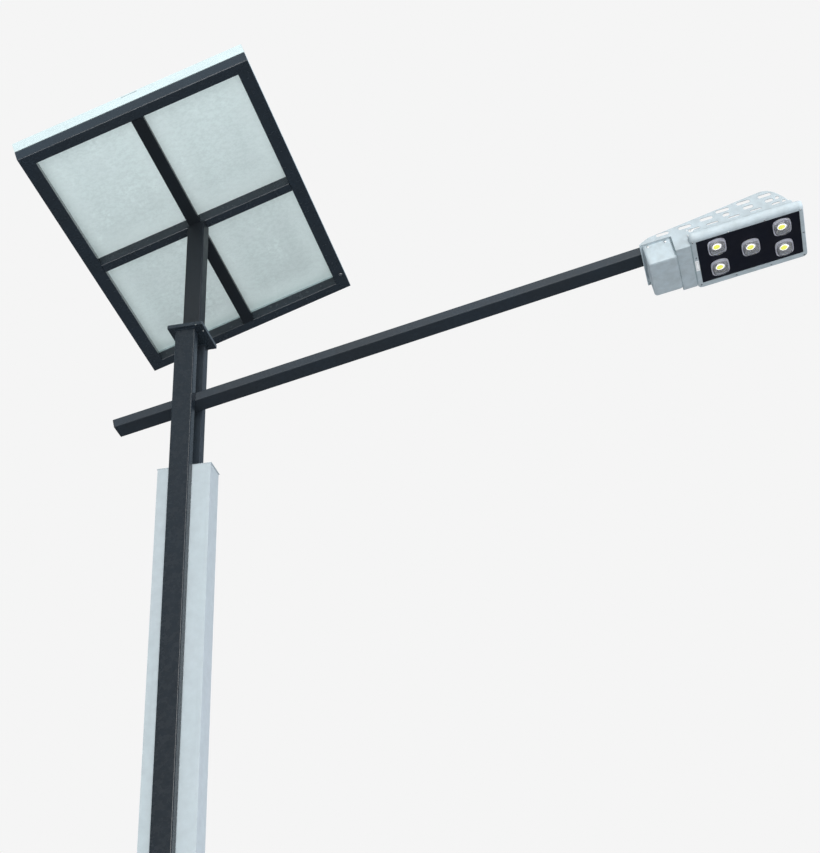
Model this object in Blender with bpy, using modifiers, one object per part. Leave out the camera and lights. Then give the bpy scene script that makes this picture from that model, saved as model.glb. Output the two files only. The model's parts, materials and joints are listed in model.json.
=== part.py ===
"""Solar street lamp: a twin-column steel pole with a slanted arm, an LED lamp head and a solar module.

Metres, +Z up. The origin is the centre of the base flange's underside, midway between the two columns.
+X runs along the arm to the lamp head and +Y from the front column to the rear one.
"""

import math

import bmesh
import bpy
from mathutils import Matrix, Vector

GAP = 0.0003  # between neighbouring pieces
MM = 0.001

# Base
FLANGE_SIDE = 0.400
FLANGE_THICK = 0.020
ANCHOR_PITCH = 0.300
ANCHOR_HOLE_RADIUS = 0.0135
GUSSET_X = 0.028
GUSSET_THICK = 0.008
GUSSET_REACH = 0.090
GUSSET_TALL = 0.150

# Columns, with the cap plate and the panel post on top
COLUMN_WIDTH = 0.085  # along X
COLUMN_DEPTH = 0.044  # along Y
COLUMN_SPACE = 0.086  # clear gap between the two columns
COLUMN_WALL = 0.003
CAP_HEIGHT = 6.000  # underside of the cap plate
CAP_SIZE = (0.150, 0.194)
CAP_THICK = 0.016
CAP_CENTRE = (0.0035, -0.007)
POST_SIZE = (0.074, 0.067)
POST_X = 0.006

# Casing that fills the gap between the columns, with the battery in its lower part
CASING_WIDTH = 0.221
CASING_X = 0.007
CASING_BACK = 0.058  # its rear wall, which laps past the rear column's front face
CASING_TOP = 5.379
CASING_SPLIT = 1.400
CASING_WALL = 0.002
LID_THICK = 0.003
LID_LIP = 0.003

# Service door in the casing's +X side
DOOR_Y = (-0.038, 0.040)
DOOR_Z = (0.500, 1.240)
DOOR_THICK = 0.003
DOOR_LAP = 0.007  # how far it covers the wall round the opening, at each side
DOOR_END_LAP = 0.030  # and at its top and bottom
GASKET_THICK = 0.0012
HINGE_Y = 0.046
KNUCKLE_RADIUS = 0.004
PIN_RADIUS = 0.002
HINGE_TALL = 0.060
HINGE_HEIGHTS = (0.620, 1.120)
LOCK_Y = -0.020
LOCK_Z = 0.870
CAM_REACH = 0.019
BATTERY_SIZE = (0.140, 0.060, 0.540)
SHELF_Z = 0.545

# Panel frame: square tubes under the module, which rises towards +X
PANEL_TILT = math.radians(18.56)
PANEL_BASE = Vector((0.0015, 0.0, CAP_HEIGHT + 0.570))  # middle of the frame's underside
PANEL_RUN = 0.992  # along the slope
PANEL_SPAN = 1.611  # along Y
FRAME_TUBE = (0.058, 0.048)  # width in the frame's plane, height
CROSS_WIDTH = 0.052
FRAME_WALL = 0.0025
RAIL_HEIGHT = 0.045
RAIL_FLANGE = 0.030
RAIL_WEB = 0.016
GROOVE = (0.0381, 0.0432)  # where the laminate sits, from the rail's underside

# Arm, held between the columns
ARM_SLOPE = math.radians(11.95)
ARM_HEIGHT = CAP_HEIGHT - 0.315  # its centreline where it crosses the pole's axis
ARM_SECTION = (0.085, 0.038)  # along Y, and square to the arm
ARM_WALL = 0.003
ARM_TAIL = 0.312
ARM_REACH = 1.928  # from the pole's axis to the lamp head's left end
ARM_INSIDE_HEAD = 0.085

# Lamp head, in its own frame: s along the head, y across it, h up and square to both
HEAD_PITCH = math.radians(10.7)
PIVOT_S = 0.045
TRAY_S = (-0.014, 0.1715)
TRAY_H = -0.0335
SHEET = 0.0025
HEAD_HALF = 0.140  # outer face of the side plates
SIDE_PLATE_END = 0.601
CREST = (0.490, 0.0315)  # the side plates' highest point
SLOT_TALL = 0.014
NECK_S = (0.115, 0.1715)
NECK_H = -0.118
DRIVER_BOX_S = (-0.003, 0.1135)
DRIVER_BOX_HALF = 0.113
DRIVER_BOX_H = -0.128
BEZEL_S = (0.172, 0.628)
BEZEL_Y = (-0.168, 0.171)
BEZEL_H = (-0.112, -0.0785)
BEZEL_CORNER = 0.018
BEZEL_OPENING_S = (0.195, 0.609)
BEZEL_OPENING_Y = (-0.1435, 0.1405)
LED_PLATE_H = -0.1074
LED_CENTRE_S = 0.405
LED_STEP = (0.131, 0.070)
LENS_RADIUS = 0.052
LENS_FLAT = 0.037
CHIP_RADIUS = 0.022
FIN_COUNT = 34

MODEL = bpy.data.collections.new("solar_street_lamp")
CUTTERS = bpy.data.collections.new("cutters")


# ---------------------------------------------------------------- scene and materials


def clear_scene():
    for found in list(bpy.data.objects):
        bpy.data.objects.remove(found, do_unlink=True)
    for collection in (MODEL, CUTTERS):
        bpy.context.scene.collection.children.link(collection)
    CUTTERS.hide_render = True


def finish(name, colour, roughness, metallic=0.0, alpha=1.0):
    """A Principled material, made once for each name."""
    made = bpy.data.materials.get(name)
    if made:
        return made
    made = bpy.data.materials.new(name)
    made.use_nodes = True
    shader = made.node_tree.nodes["Principled BSDF"]
    shader.inputs["Base Color"].default_value = (*colour, 1.0)
    shader.inputs["Roughness"].default_value = roughness
    shader.inputs["Metallic"].default_value = metallic
    shader.inputs["Alpha"].default_value = alpha
    made.diffuse_color = (*colour, alpha)
    return made


def black_paint():
    return finish("black_powder_coat", (0.035, 0.043, 0.052), 0.45)


def grey_paint():
    return finish("light_grey_paint", (0.60, 0.66, 0.69), 0.5)


def aluminium():
    return finish("anodised_aluminium", (0.80, 0.83, 0.85), 0.35, 0.9)


def zinc_steel():
    return finish("zinc_plated_steel", (0.55, 0.56, 0.58), 0.35, 0.9)


def black_plastic():
    return finish("black_plastic", (0.02, 0.02, 0.022), 0.5)


def rubber():
    return finish("black_rubber", (0.015, 0.015, 0.015), 0.8)


# ---------------------------------------------------------------- frames


def frame_of(origin, x_axis, y_axis, z_axis):
    """A matrix whose columns are the three axes, at origin."""
    rows = Matrix((x_axis, y_axis, z_axis)).transposed().to_4x4()
    return Matrix.Translation(Vector(origin)) @ rows


def sloped(angle):
    """The direction up a slope in the XZ plane, and the normal to it."""
    run, rise = math.cos(angle), math.sin(angle)
    return Vector((run, 0.0, rise)), Vector((-rise, 0.0, run))


X, Y, Z = Vector((1, 0, 0)), Vector((0, 1, 0)), Vector((0, 0, 1))
PANEL_U, PANEL_N = sloped(PANEL_TILT)
ARM_A, ARM_N = sloped(ARM_SLOPE)
HEAD_S, HEAD_N = sloped(HEAD_PITCH)
ARM_ORIGIN = Vector((0.0, 0.0, ARM_HEIGHT))
HEAD_ORIGIN = ARM_ORIGIN + ARM_REACH * ARM_A
PIVOT = HEAD_ORIGIN + PIVOT_S * HEAD_S

SIDE_WALL = frame_of((0, 0, 0), Y, Z, X)  # outlines in the YZ plane, depth along X
PANEL = frame_of(PANEL_BASE, PANEL_U, Y, PANEL_N)
ARM = frame_of(ARM_ORIGIN, Y, ARM_N, ARM_A)
HEAD = frame_of(HEAD_ORIGIN, HEAD_S, Y, HEAD_N)
HEAD_SIDE = frame_of(HEAD_ORIGIN, HEAD_S, HEAD_N, -Y)  # outlines in the head's side view
HEAD_END = frame_of(HEAD_ORIGIN, Y, HEAD_N, HEAD_S)  # outlines in the head's end view


def raised(matrix, depth):
    """The same frame, moved along its own z axis."""
    return matrix @ Matrix.Translation((0, 0, depth))


def joint_empty(name, origin):
    empty = bpy.data.objects.new(name, None)
    empty.empty_display_size = 0.1
    MODEL.objects.link(empty)
    empty.location = origin
    return empty


# ---------------------------------------------------------------- outlines


def rounded_rect(width, height, radius, centre=(0.0, 0.0), steps=3):
    """Corner points of a rounded rectangle, anticlockwise, centred on centre."""
    points = []
    for corner, (sx, sy) in enumerate(((1, 1), (-1, 1), (-1, -1), (1, -1))):
        middle_x = centre[0] + sx * (width / 2 - radius)
        middle_y = centre[1] + sy * (height / 2 - radius)
        for step in range(steps + 1):
            turn = math.pi / 2 * (corner + step / steps)
            points.append((middle_x + radius * math.cos(turn), middle_y + radius * math.sin(turn)))
    return points


def rectangle(x_range, y_range):
    (x0, x1), (y0, y1) = x_range, y_range
    return [(x1, y1), (x0, y1), (x0, y0), (x1, y0)]


def circle(radius, centre=(0.0, 0.0), count=24):
    turns = [2 * math.pi * i / count for i in range(count)]
    return [(centre[0] + radius * math.cos(t), centre[1] + radius * math.sin(t)) for t in turns]


def hexagon(across_flats, count=24):
    """A hexagon sampled at count points, so that it lofts to a circle of as many."""
    points = []
    for i in range(count):
        turn = 2 * math.pi * i / count
        off_flat = (turn % (math.pi / 3)) - math.pi / 6
        reach = across_flats / 2 / math.cos(off_flat)
        points.append((reach * math.cos(turn), reach * math.sin(turn)))
    return points


def slot(centre, length, width, steps=4):
    """A slot with round ends, lying along x."""
    radius = width / 2
    points = []
    for side in (1, -1):
        for step in range(steps + 1):
            turn = math.pi * step / steps - math.pi / 2
            points.append((
                centre[0] + side * (length / 2 - radius + radius * math.cos(turn)),
                centre[1] + side * radius * math.sin(turn),
            ))
    return points


def tube_section(width, height, wall, radius):
    """Outer and inner outline of a rectangular hollow section."""
    outer = rounded_rect(width, height, radius)
    inner = rounded_rect(width - 2 * wall, height - 2 * wall, max(radius - wall, 0.0008))
    return [outer, inner]


# ---------------------------------------------------------------- solids


def add_object(name, mesh, matrix, material, parent=None, collection=MODEL):
    made = bpy.data.objects.new(name, mesh)
    collection.objects.link(made)
    if parent:
        made.parent = parent
        matrix = Matrix.Translation(-parent.location) @ matrix
    made.matrix_basis = matrix
    if material:
        mesh.materials.clear()
        mesh.materials.append(material)
    mesh.shade_smooth()
    mesh.set_sharp_from_angle(angle=math.radians(35))
    return made


def extruded_mesh(name, outlines, depth):
    """A flat outline with its holes, given thickness from z = 0 to z = depth."""
    curve = bpy.data.curves.new(name + "_outline", "CURVE")
    curve.dimensions = "2D"
    curve.fill_mode = "BOTH"
    curve.extrude = depth / 2
    for outline in outlines:
        spline = curve.splines.new("POLY")
        spline.points.add(len(outline) - 1)
        for point, (x, y) in zip(spline.points, outline):
            point.co = (x, y, 0.0, 1.0)
        spline.use_cyclic_u = True
    guide = bpy.data.objects.new(name + "_outline", curve)
    MODEL.objects.link(guide)
    graph = bpy.context.evaluated_depsgraph_get()
    mesh = bpy.data.meshes.new_from_object(guide.evaluated_get(graph))
    bpy.data.objects.remove(guide)
    mesh.name = name
    edit = bmesh.new()
    edit.from_mesh(mesh)
    bmesh.ops.remove_doubles(edit, verts=edit.verts, dist=0.00001)
    bmesh.ops.translate(edit, verts=edit.verts, vec=(0, 0, depth / 2))
    bmesh.ops.recalc_face_normals(edit, faces=edit.faces)
    edit.to_mesh(mesh)
    edit.free()
    return mesh


def extruded(name, outlines, depth, matrix, material, parent=None):
    return add_object(name, extruded_mesh(name, outlines, depth), matrix, material, parent)


def lofted(name, loops, matrix, material, parent=None, ring=False):
    """A skin through loops of as many points each: closed at both ends by a face, or on itself."""
    edit = bmesh.new()
    rows = [[edit.verts.new(point) for point in loop] for loop in loops]
    pairs = list(zip(rows, rows[1:]))
    if ring:
        pairs.append((rows[-1], rows[0]))
    else:
        edit.faces.new(rows[0])
        edit.faces.new(rows[-1])
    count = len(rows[0])
    for low, high in pairs:
        for i in range(count):
            j = (i + 1) % count
            edit.faces.new((low[i], low[j], high[j], high[i]))
    bmesh.ops.recalc_face_normals(edit, faces=edit.faces)
    mesh = bpy.data.meshes.new(name)
    edit.to_mesh(mesh)
    edit.free()
    return add_object(name, mesh, matrix, material, parent)


def at_height(outline, z):
    return [(x, y, z) for x, y in outline]


def turned_ring(name, profile, matrix, material, parent=None, count=24):
    """A ring about its frame's z axis, from (radius, z) pairs that run down its outer side."""
    edges = [(i, (i + 1) % len(profile)) for i in range(len(profile))]
    mesh = bpy.data.meshes.new(name)
    mesh.from_pydata([(radius, 0.0, z) for radius, z in profile], edges, [])
    made = add_object(name, mesh, matrix, material, parent)
    screw = made.modifiers.new("turn", "SCREW")
    screw.steps = count
    screw.render_steps = count
    screw.use_merge_vertices = True
    screw.merge_threshold = 0.00001
    return made


def cylinder(name, radius, span, matrix, material, parent=None, count=24):
    """A plain cylinder along its frame's z axis, over the given span."""
    low, high = span
    edit = bmesh.new()
    bmesh.ops.create_cone(
        edit,
        cap_ends=True,
        cap_tris=False,
        segments=count,
        radius1=radius,
        radius2=radius,
        depth=high - low,
        matrix=Matrix.Translation((0, 0, (low + high) / 2)),
    )
    mesh = bpy.data.meshes.new(name)
    edit.to_mesh(mesh)
    edit.free()
    return add_object(name, mesh, matrix, material, parent)


def box(name, low, high, matrix, material, parent=None, round_off=0.0):
    """A box between two corners of its frame, with its edges rounded where asked."""
    edit = bmesh.new()
    bmesh.ops.create_cube(edit, size=1.0)
    size = [b - a for a, b in zip(low, high)]
    middle = [(a + b) / 2 for a, b in zip(low, high)]
    bmesh.ops.scale(edit, verts=edit.verts, vec=size)
    bmesh.ops.translate(edit, verts=edit.verts, vec=middle)
    mesh = bpy.data.meshes.new(name)
    edit.to_mesh(mesh)
    edit.free()
    made = add_object(name, mesh, matrix, material, parent)
    if round_off:
        bevel = made.modifiers.new("rounded_edges", "BEVEL")
        bevel.width = round_off
        bevel.segments = 2
    return made


def boolean(target, tool, operation):
    """A Boolean with tool, which moves to the hidden cutters."""
    for collection in list(tool.users_collection):
        collection.objects.unlink(tool)
    CUTTERS.objects.link(tool)
    tool.hide_render = True
    tool.display_type = "WIRE"
    change = target.modifiers.new(tool.name, "BOOLEAN")
    change.operation = operation
    change.solver = "EXACT"
    change.object = tool


def mitred(name, outlines, length, matrix, material):
    """A frame member whose x runs inwards from its outer face, with both ends cut at 45 degrees."""
    mesh = extruded_mesh(name, outlines, length)
    for vertex in mesh.vertices:
        end = 1 if vertex.co.z > length / 2 else -1
        vertex.co.z = end * (length / 2 - vertex.co.x - GAP)
    return add_object(name, mesh, matrix, material)


# ---------------------------------------------------------------- pole


def build_pole():
    holes = [
        circle(ANCHOR_HOLE_RADIUS, (sx * ANCHOR_PITCH / 2, sy * ANCHOR_PITCH / 2))
        for sx in (-1, 1)
        for sy in (-1, 1)
    ]
    outline = rounded_rect(FLANGE_SIDE, FLANGE_SIDE, 0.015)
    flange = extruded("base_flange", [outline, *holes], FLANGE_THICK, Matrix(), black_paint())
    add_gussets(flange)

    section = tube_section(COLUMN_WIDTH, COLUMN_DEPTH, COLUMN_WALL, 0.005)
    foot = FLANGE_THICK + GAP
    height = CAP_HEIGHT - GAP - foot
    offset = COLUMN_SPACE / 2 + COLUMN_DEPTH / 2
    for name, y in (("front_column", -offset), ("rear_column", offset)):
        extruded(name, section, height, Matrix.Translation((0, y, foot)), black_paint())

    cap = rounded_rect(*CAP_SIZE, 0.003, CAP_CENTRE)
    extruded("cap_plate", [cap], CAP_THICK, Matrix.Translation((0, 0, CAP_HEIGHT)), black_paint())
    build_post()


def add_gussets(flange):
    """Two ribs beside each column, one piece with the flange."""
    start = COLUMN_SPACE / 2 + COLUMN_DEPTH + GAP
    foot, low, high = FLANGE_THICK / 2, FLANGE_THICK + 0.012, FLANGE_THICK + GUSSET_TALL
    for side in (-1, 1):
        rib = [(start, foot), (start, high), (start + 0.012, high), (start + GUSSET_REACH, low)]
        rib.append((start + GUSSET_REACH, foot))
        outline = [(side * y, z) for y, z in rib]
        for x in (-GUSSET_X, GUSSET_X):
            place = raised(SIDE_WALL, x - GUSSET_THICK / 2)
            name = f"gusset_{side}_{int(x * 1000)}"
            boolean(flange, extruded(name, [outline], GUSSET_THICK, place, None), "UNION")


def build_post():
    """The post ends on the slope of the panel frame's underside."""
    foot = CAP_HEIGHT + CAP_THICK + GAP
    mesh = extruded_mesh("panel_post", tube_section(*POST_SIZE, 0.003, 0.005), 1.0)
    for vertex in mesh.vertices:
        if vertex.co.z > 0.5:
            across = POST_X + vertex.co.x - PANEL_BASE.x
            vertex.co.z = PANEL_BASE.z + across * math.tan(PANEL_TILT) - 2 * GAP - foot
    add_object("panel_post", mesh, Matrix.Translation((POST_X, 0, foot)), black_paint())


def casing_outline(inset):
    """The casing's section: a rectangle whose rear wall steps in round the rear column."""
    half = CASING_WIDTH / 2 - inset
    front = -COLUMN_SPACE / 2 + GAP + inset
    back = CASING_BACK - inset
    step = COLUMN_WIDTH / 2 + GAP + inset
    notch = COLUMN_SPACE / 2 - GAP - inset
    left, right = CASING_X - half, CASING_X + half
    return [
        (right, front), (right, back), (step, back), (step, notch),
        (-step, notch), (-step, back), (left, back), (left, front),
    ]


def build_casing():
    """The lower cabinet, the long upper casing and the lid that closes it."""
    section = [casing_outline(0.0), casing_outline(CASING_WALL)]
    foot = FLANGE_THICK + GAP
    top = CASING_TOP - LID_THICK - GAP
    cabinet = extruded(
        "lower_casing", section, CASING_SPLIT - foot, Matrix.Translation((0, 0, foot)), grey_paint()
    )
    upper_foot = CASING_SPLIT + GAP
    extruded(
        "upper_casing", section, top - upper_foot, Matrix.Translation((0, 0, upper_foot)), grey_paint()
    )
    boolean(cabinet, door_opening_cutter(), "DIFFERENCE")

    left = CASING_X - CASING_WIDTH / 2 - LID_LIP
    right = CASING_X + CASING_WIDTH / 2 + LID_LIP
    front, back = -COLUMN_SPACE / 2 + GAP, CASING_BACK + LID_LIP
    step, notch = COLUMN_WIDTH / 2 + GAP, COLUMN_SPACE / 2 - GAP
    lid = [
        (right, front), (right, back), (step, back), (step, notch),
        (-step, notch), (-step, back), (left, back), (left, front),
    ]
    extruded(
        "casing_lid", [lid], LID_THICK, Matrix.Translation((0, 0, CASING_TOP - LID_THICK)), grey_paint()
    )


# ---------------------------------------------------------------- service door and battery bay

CASING_SIDE_X = CASING_X + CASING_WIDTH / 2
GASKET_X = CASING_SIDE_X + GAP
DOOR_X = GASKET_X + GASKET_THICK + GAP
HINGE_X = DOOR_X + KNUCKLE_RADIUS
DOOR_FACE_X = DOOR_X + DOOR_THICK


def door_span(inset_y, inset_z):
    """A rounded rectangle in the side wall's plane, inset from the door's edge."""
    width = DOOR_Y[1] - DOOR_Y[0] - 2 * inset_y
    height = DOOR_Z[1] - DOOR_Z[0] - 2 * inset_z
    centre = (sum(DOOR_Y) / 2, sum(DOOR_Z) / 2)
    return rounded_rect(width, height, 0.006, centre)


def door_opening_cutter():
    opening = door_span(DOOR_LAP, DOOR_END_LAP)
    return extruded("door_opening", [opening], 0.012, raised(SIDE_WALL, CASING_SIDE_X - 0.006), None)


def knuckle(name, z_low, z_high):
    """A solid hinge knuckle, still without its bore."""
    pin_line = Matrix.Translation((HINGE_X, HINGE_Y, 0))
    return cylinder(name, KNUCKLE_RADIUS, (z_low, z_high), pin_line, None, count=16)


def bore_cutter(name, z_middle):
    pin_line = Matrix.Translation((HINGE_X, HINGE_Y, 0))
    span = (z_middle - HINGE_TALL, z_middle + HINGE_TALL)
    return cylinder(name, PIN_RADIUS + GAP, span, pin_line, None, count=16)


def build_door():
    axis = joint_empty("door_hinge_axis", (HINGE_X, HINGE_Y, LOCK_Z))
    third = HINGE_TALL / 3
    lock_hole = circle(0.0095, (LOCK_Y, LOCK_Z))
    outline = door_span(0, 0)
    for middle in HINGE_HEIGHTS:
        low, high = middle - third / 2 + 0.001, middle + third / 2 - 0.001
        tip = HINGE_Y - 0.001
        outline += [(DOOR_Y[1], low), (tip, low), (tip, high), (DOOR_Y[1], high)]
    door = extruded(
        "service_door",
        [outline, lock_hole],
        DOOR_THICK,
        raised(SIDE_WALL, DOOR_X),
        grey_paint(),
        axis,
    )
    extruded(
        "door_gasket",
        [door_span(0.002, 0.003), door_span(0.006, 0.029)],
        GASKET_THICK,
        raised(SIDE_WALL, GASKET_X),
        rubber(),
        axis,
    )
    for place, middle in zip(("lower", "upper"), HINGE_HEIGHTS):
        low, high = middle - third / 2 + GAP, middle + third / 2 - GAP
        boolean(door, knuckle(f"{place}_door_knuckle", low, high), "UNION")
        boolean(door, bore_cutter(f"{place}_door_bore", middle), "DIFFERENCE")
        build_fixed_leaf(place, middle, third)
        cylinder(
            f"{place}_hinge_pin",
            PIN_RADIUS,
            (middle - HINGE_TALL / 2 - 0.001, middle + HINGE_TALL / 2 + 0.001),
            Matrix.Translation((HINGE_X, HINGE_Y, 0)),
            zinc_steel(),
            count=12,
        )
    build_lock(axis)


def build_fixed_leaf(place, middle, third):
    """The half hinge on the casing: a strip with a knuckle at each end of the pin."""
    strip_y = HINGE_Y + KNUCKLE_RADIUS + 2 * GAP
    leaf = box(
        f"{place}_hinge_leaf",
        (GASKET_X, strip_y, middle - HINGE_TALL / 2),
        (GASKET_X + 0.0035, strip_y + 0.004, middle + HINGE_TALL / 2),
        Matrix(),
        zinc_steel(),
    )
    for end in (-1, 1):
        ends = sorted((middle + end * third / 2, middle + end * HINGE_TALL / 2))
        arm = box(
            f"{place}_leaf_arm_{end}",
            (DOOR_X + GAP, HINGE_Y + 0.001, ends[0] + 0.001),
            (DOOR_X + 0.002, strip_y + 0.002, ends[1] - 0.001),
            Matrix(),
            None,
        )
        boolean(leaf, arm, "UNION")
        boolean(leaf, knuckle(f"{place}_leaf_knuckle_{end}", *ends), "UNION")
    boolean(leaf, bore_cutter(f"{place}_leaf_bore", middle), "DIFFERENCE")


def build_lock(door_axis):
    """A cam lock: its body in the door, and the plug and cam that turn together."""
    centre = frame_of((0, LOCK_Y, LOCK_Z), Y, Z, X)
    wall_inside = CASING_SIDE_X - CASING_WALL
    back, front = wall_inside - 0.0006, DOOR_FACE_X + GAP + 0.002
    flange_back = DOOR_FACE_X + GAP
    turned_ring(
        "lock_body",
        [
            (0.0063, back), (0.0063, front), (0.012, front), (0.012, flange_back), (0.0092, flange_back),
            (0.0092, back),
        ],
        centre,
        zinc_steel(),
        door_axis,
    )
    axis = joint_empty("lock_axis", (back, LOCK_Y, LOCK_Z))
    cam_front = back - GAP
    cam_back = cam_front - 0.0024
    plug = cylinder("lock_plug", 0.006, (cam_back - 0.002, front + 0.001), centre, zinc_steel(), axis)
    key_slot = box(
        "key_slot", (-0.0035, -0.00075, front - 0.003), (0.0035, 0.00075, front + 0.004), centre, None
    )
    boolean(plug, key_slot, "DIFFERENCE")
    cam = [(0.0095 * math.cos(a), 0.0095 * math.sin(a)) for a in (math.pi * i / 12 for i in range(13))]
    nose = CAM_REACH - 0.002
    cam += [(-0.006, -nose), (-0.004, -CAM_REACH), (0.004, -CAM_REACH), (0.006, -nose)]
    extruded(
        "lock_cam", [cam, circle(0.0063)], 0.0024, raised(centre, cam_back), zinc_steel(), axis
    )


def build_battery_bay():
    inside = CASING_WALL + GAP
    left, right = CASING_X - CASING_WIDTH / 2 + inside, CASING_X + CASING_WIDTH / 2 - inside
    front, back = -COLUMN_SPACE / 2 + GAP + inside, COLUMN_SPACE / 2 - GAP - inside
    box("battery_shelf", (left, front, SHELF_Z), (right, back, SHELF_Z + 0.003), Matrix(), zinc_steel())
    stand = SHELF_Z + 0.003 + GAP
    middle = (0.008, 0.002)
    half_x, half_y = BATTERY_SIZE[0] / 2, BATTERY_SIZE[1] / 2
    box(
        "battery_pack",
        (middle[0] - half_x, middle[1] - half_y, stand),
        (middle[0] + half_x, middle[1] + half_y, stand + BATTERY_SIZE[2]),
        Matrix(),
        finish("battery_case", (0.05, 0.16, 0.30), 0.5),
        round_off=0.006,
    )
    box(
        "charge_controller",
        (-0.040, front, 1.125),
        (0.060, front + 0.032, 1.205),
        Matrix(),
        finish("controller_case", (0.10, 0.11, 0.12), 0.5),
        round_off=0.004,
    )


# ---------------------------------------------------------------- panel


def frame_sides():
    """Name, the matrix of the outer lower edge and the length of each side of the panel's frame."""
    run, span = PANEL_RUN / 2, PANEL_SPAN / 2
    return (
        ("near", frame_of((0, -span, 0), Y, Z, X), PANEL_RUN),
        ("far", frame_of((0, span, 0), -Y, Z, -X), PANEL_RUN),
        ("low", frame_of((-run, 0, 0), X, Z, -Y), PANEL_SPAN),
        ("high", frame_of((run, 0, 0), -X, Z, Y), PANEL_SPAN),
    )


def build_panel_frame():
    width, height = FRAME_TUBE
    section = [
        [(x + width / 2, y + height / 2) for x, y in outline]
        for outline in tube_section(width, height, FRAME_WALL, 0.005)
    ]
    for side, matrix, length in frame_sides():
        mitred(f"{side}_frame_tube", section, length, PANEL @ matrix, black_paint())

    cross = [
        [(x, y + height / 2) for x, y in outline]
        for outline in tube_section(CROSS_WIDTH, height, FRAME_WALL, 0.005)
    ]
    long_half = PANEL_SPAN / 2 - width - GAP
    along_y = frame_of((0, -long_half, 0), -X, Z, Y)
    extruded("long_cross_bar", cross, 2 * long_half, PANEL @ along_y, black_paint())
    start, end = CROSS_WIDTH / 2 + GAP, PANEL_RUN / 2 - width - GAP
    for name, first in (("low_cross_bar", -end), ("high_cross_bar", start)):
        along_u = frame_of((first, 0, 0), Y, Z, X)
        extruded(name, cross, end - start, PANEL @ along_u, black_paint())


def rail_section():
    """A module rail: hollow web, bottom flange, and a groove for the laminate's edge."""
    wall, lip = 0.0018, 0.009
    low, high = GROOVE
    outer = [
        (0, 0), (RAIL_FLANGE, 0), (RAIL_FLANGE, wall), (RAIL_WEB, wall), (RAIL_WEB, low),
        (0.0025, low), (0.0025, high), (lip, high), (lip, RAIL_HEIGHT), (0, RAIL_HEIGHT),
    ]
    hollow = rectangle((wall, RAIL_WEB - wall), (wall, low - wall))
    return [outer, hollow]


def build_module():
    seat = FRAME_TUBE[1] + GAP
    module = raised(PANEL, seat)
    for side, matrix, length in frame_sides():
        mitred(f"{side}_module_rail", rail_section(), length, module @ matrix, aluminium())

    half_run, half_span = PANEL_RUN / 2 - 0.003, PANEL_SPAN / 2 - 0.003
    low, high = GROOVE
    backsheet_top = low + GAP + 0.0006
    cells_top = backsheet_top + GAP + 0.0005
    backing = finish("white_backsheet", (0.62, 0.68, 0.66), 0.5)
    cells = finish("solar_cells", (0.02, 0.04, 0.12), 0.3)
    glass = finish("clear_glass", (0.8, 0.85, 0.9), 0.05, 0.0, 0.3)
    layers = (
        ("backsheet", low + GAP, backsheet_top, 0.0, backing),
        ("cell_layer", backsheet_top + GAP, cells_top, 0.012, cells),
        ("module_glass", cells_top + GAP, high - GAP, 0.0, glass),
    )
    for name, bottom, top, margin, material in layers:
        u, v = half_run - margin, half_span - margin
        box(name, (-u, -v, bottom), (u, v, top), module, material)
    box(
        "junction_box",
        (-0.022, 0.560, low - 0.022),
        (0.022, 0.660, low),
        module,
        black_plastic(),
        round_off=0.003,
    )


# ---------------------------------------------------------------- arm


def build_arm():
    cap_thick = 0.003
    start = -ARM_TAIL + cap_thick + GAP
    end = ARM_REACH + ARM_INSIDE_HEAD
    section = tube_section(*ARM_SECTION, ARM_WALL, 0.005)
    arm = extruded("arm_tube", section, end - start, raised(ARM, start), black_paint())
    across = frame_of(PIVOT, X, -Z, Y)
    boolean(arm, cylinder("arm_pivot_bore", 0.0064, (-0.06, 0.06), across, None), "DIFFERENCE")

    plug = [size - 2 * (ARM_WALL + 2 * GAP) for size in ARM_SECTION]
    plate_outline = rounded_rect(*ARM_SECTION, 0.005)
    plug_outline = rounded_rect(*plug, 0.001)
    loops = [
        at_height(rounded_rect(ARM_SECTION[0] - 0.002, ARM_SECTION[1] - 0.002, 0.004), -ARM_TAIL),
        at_height(plate_outline, -ARM_TAIL + 0.001),
        at_height(plate_outline, -ARM_TAIL + cap_thick),
        at_height(plug_outline, -ARM_TAIL + cap_thick),
        at_height(plug_outline, -ARM_TAIL + 0.015),
    ]
    lofted("arm_tail_cap", loops, ARM, black_plastic())


# ---------------------------------------------------------------- lamp head


def across_head(y):
    """The side-view frame with depth running towards -Y from y."""
    return raised(HEAD_SIDE, -y)


def build_tilt_bracket(axis):
    """A channel on the tray that straddles the arm, and the bolt it tilts on."""
    inner, outer = 0.044, 0.049
    low, high = TRAY_H + GAP, 0.024
    channel = [
        (outer, low), (outer, high), (inner, high), (inner, low + 0.004),
        (-inner, low + 0.004), (-inner, high), (-outer, high), (-outer, low),
    ]
    bracket = extruded("tilt_bracket", [channel], 0.066, raised(HEAD_END, 0.012), black_paint(), axis)
    across = frame_of(PIVOT, X, -Z, Y)
    boolean(bracket, cylinder("bracket_bore", 0.0064, (-0.07, 0.07), across, None), "DIFFERENCE")
    head = outer + GAP
    bolt = [
        at_height(hexagon(0.019), -head - 0.0075),
        at_height(hexagon(0.019), -head),
        at_height(circle(0.006), -head),
        at_height(circle(0.006), head + 0.014),
    ]
    lofted("tilt_bolt", bolt, across, zinc_steel(), axis)
    nut = [
        at_height(hexagon(0.019), head),
        at_height(hexagon(0.019), head + 0.010),
        at_height(circle(0.0063), head + 0.010),
        at_height(circle(0.0063), head),
    ]
    lofted("tilt_nut", nut, across, zinc_steel(), axis, ring=True)


def skin_loops(skin, size, centre, corner):
    """Rounded rectangles for a pressed sheet, from (inset, height) pairs."""
    loops = []
    for inset, height in skin:
        outline = rounded_rect(
            size[0] - 2 * inset, size[1] - 2 * inset, corner - 0.6 * inset, centre, steps=4
        )
        loops.append(at_height(outline, height))
    return loops


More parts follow.
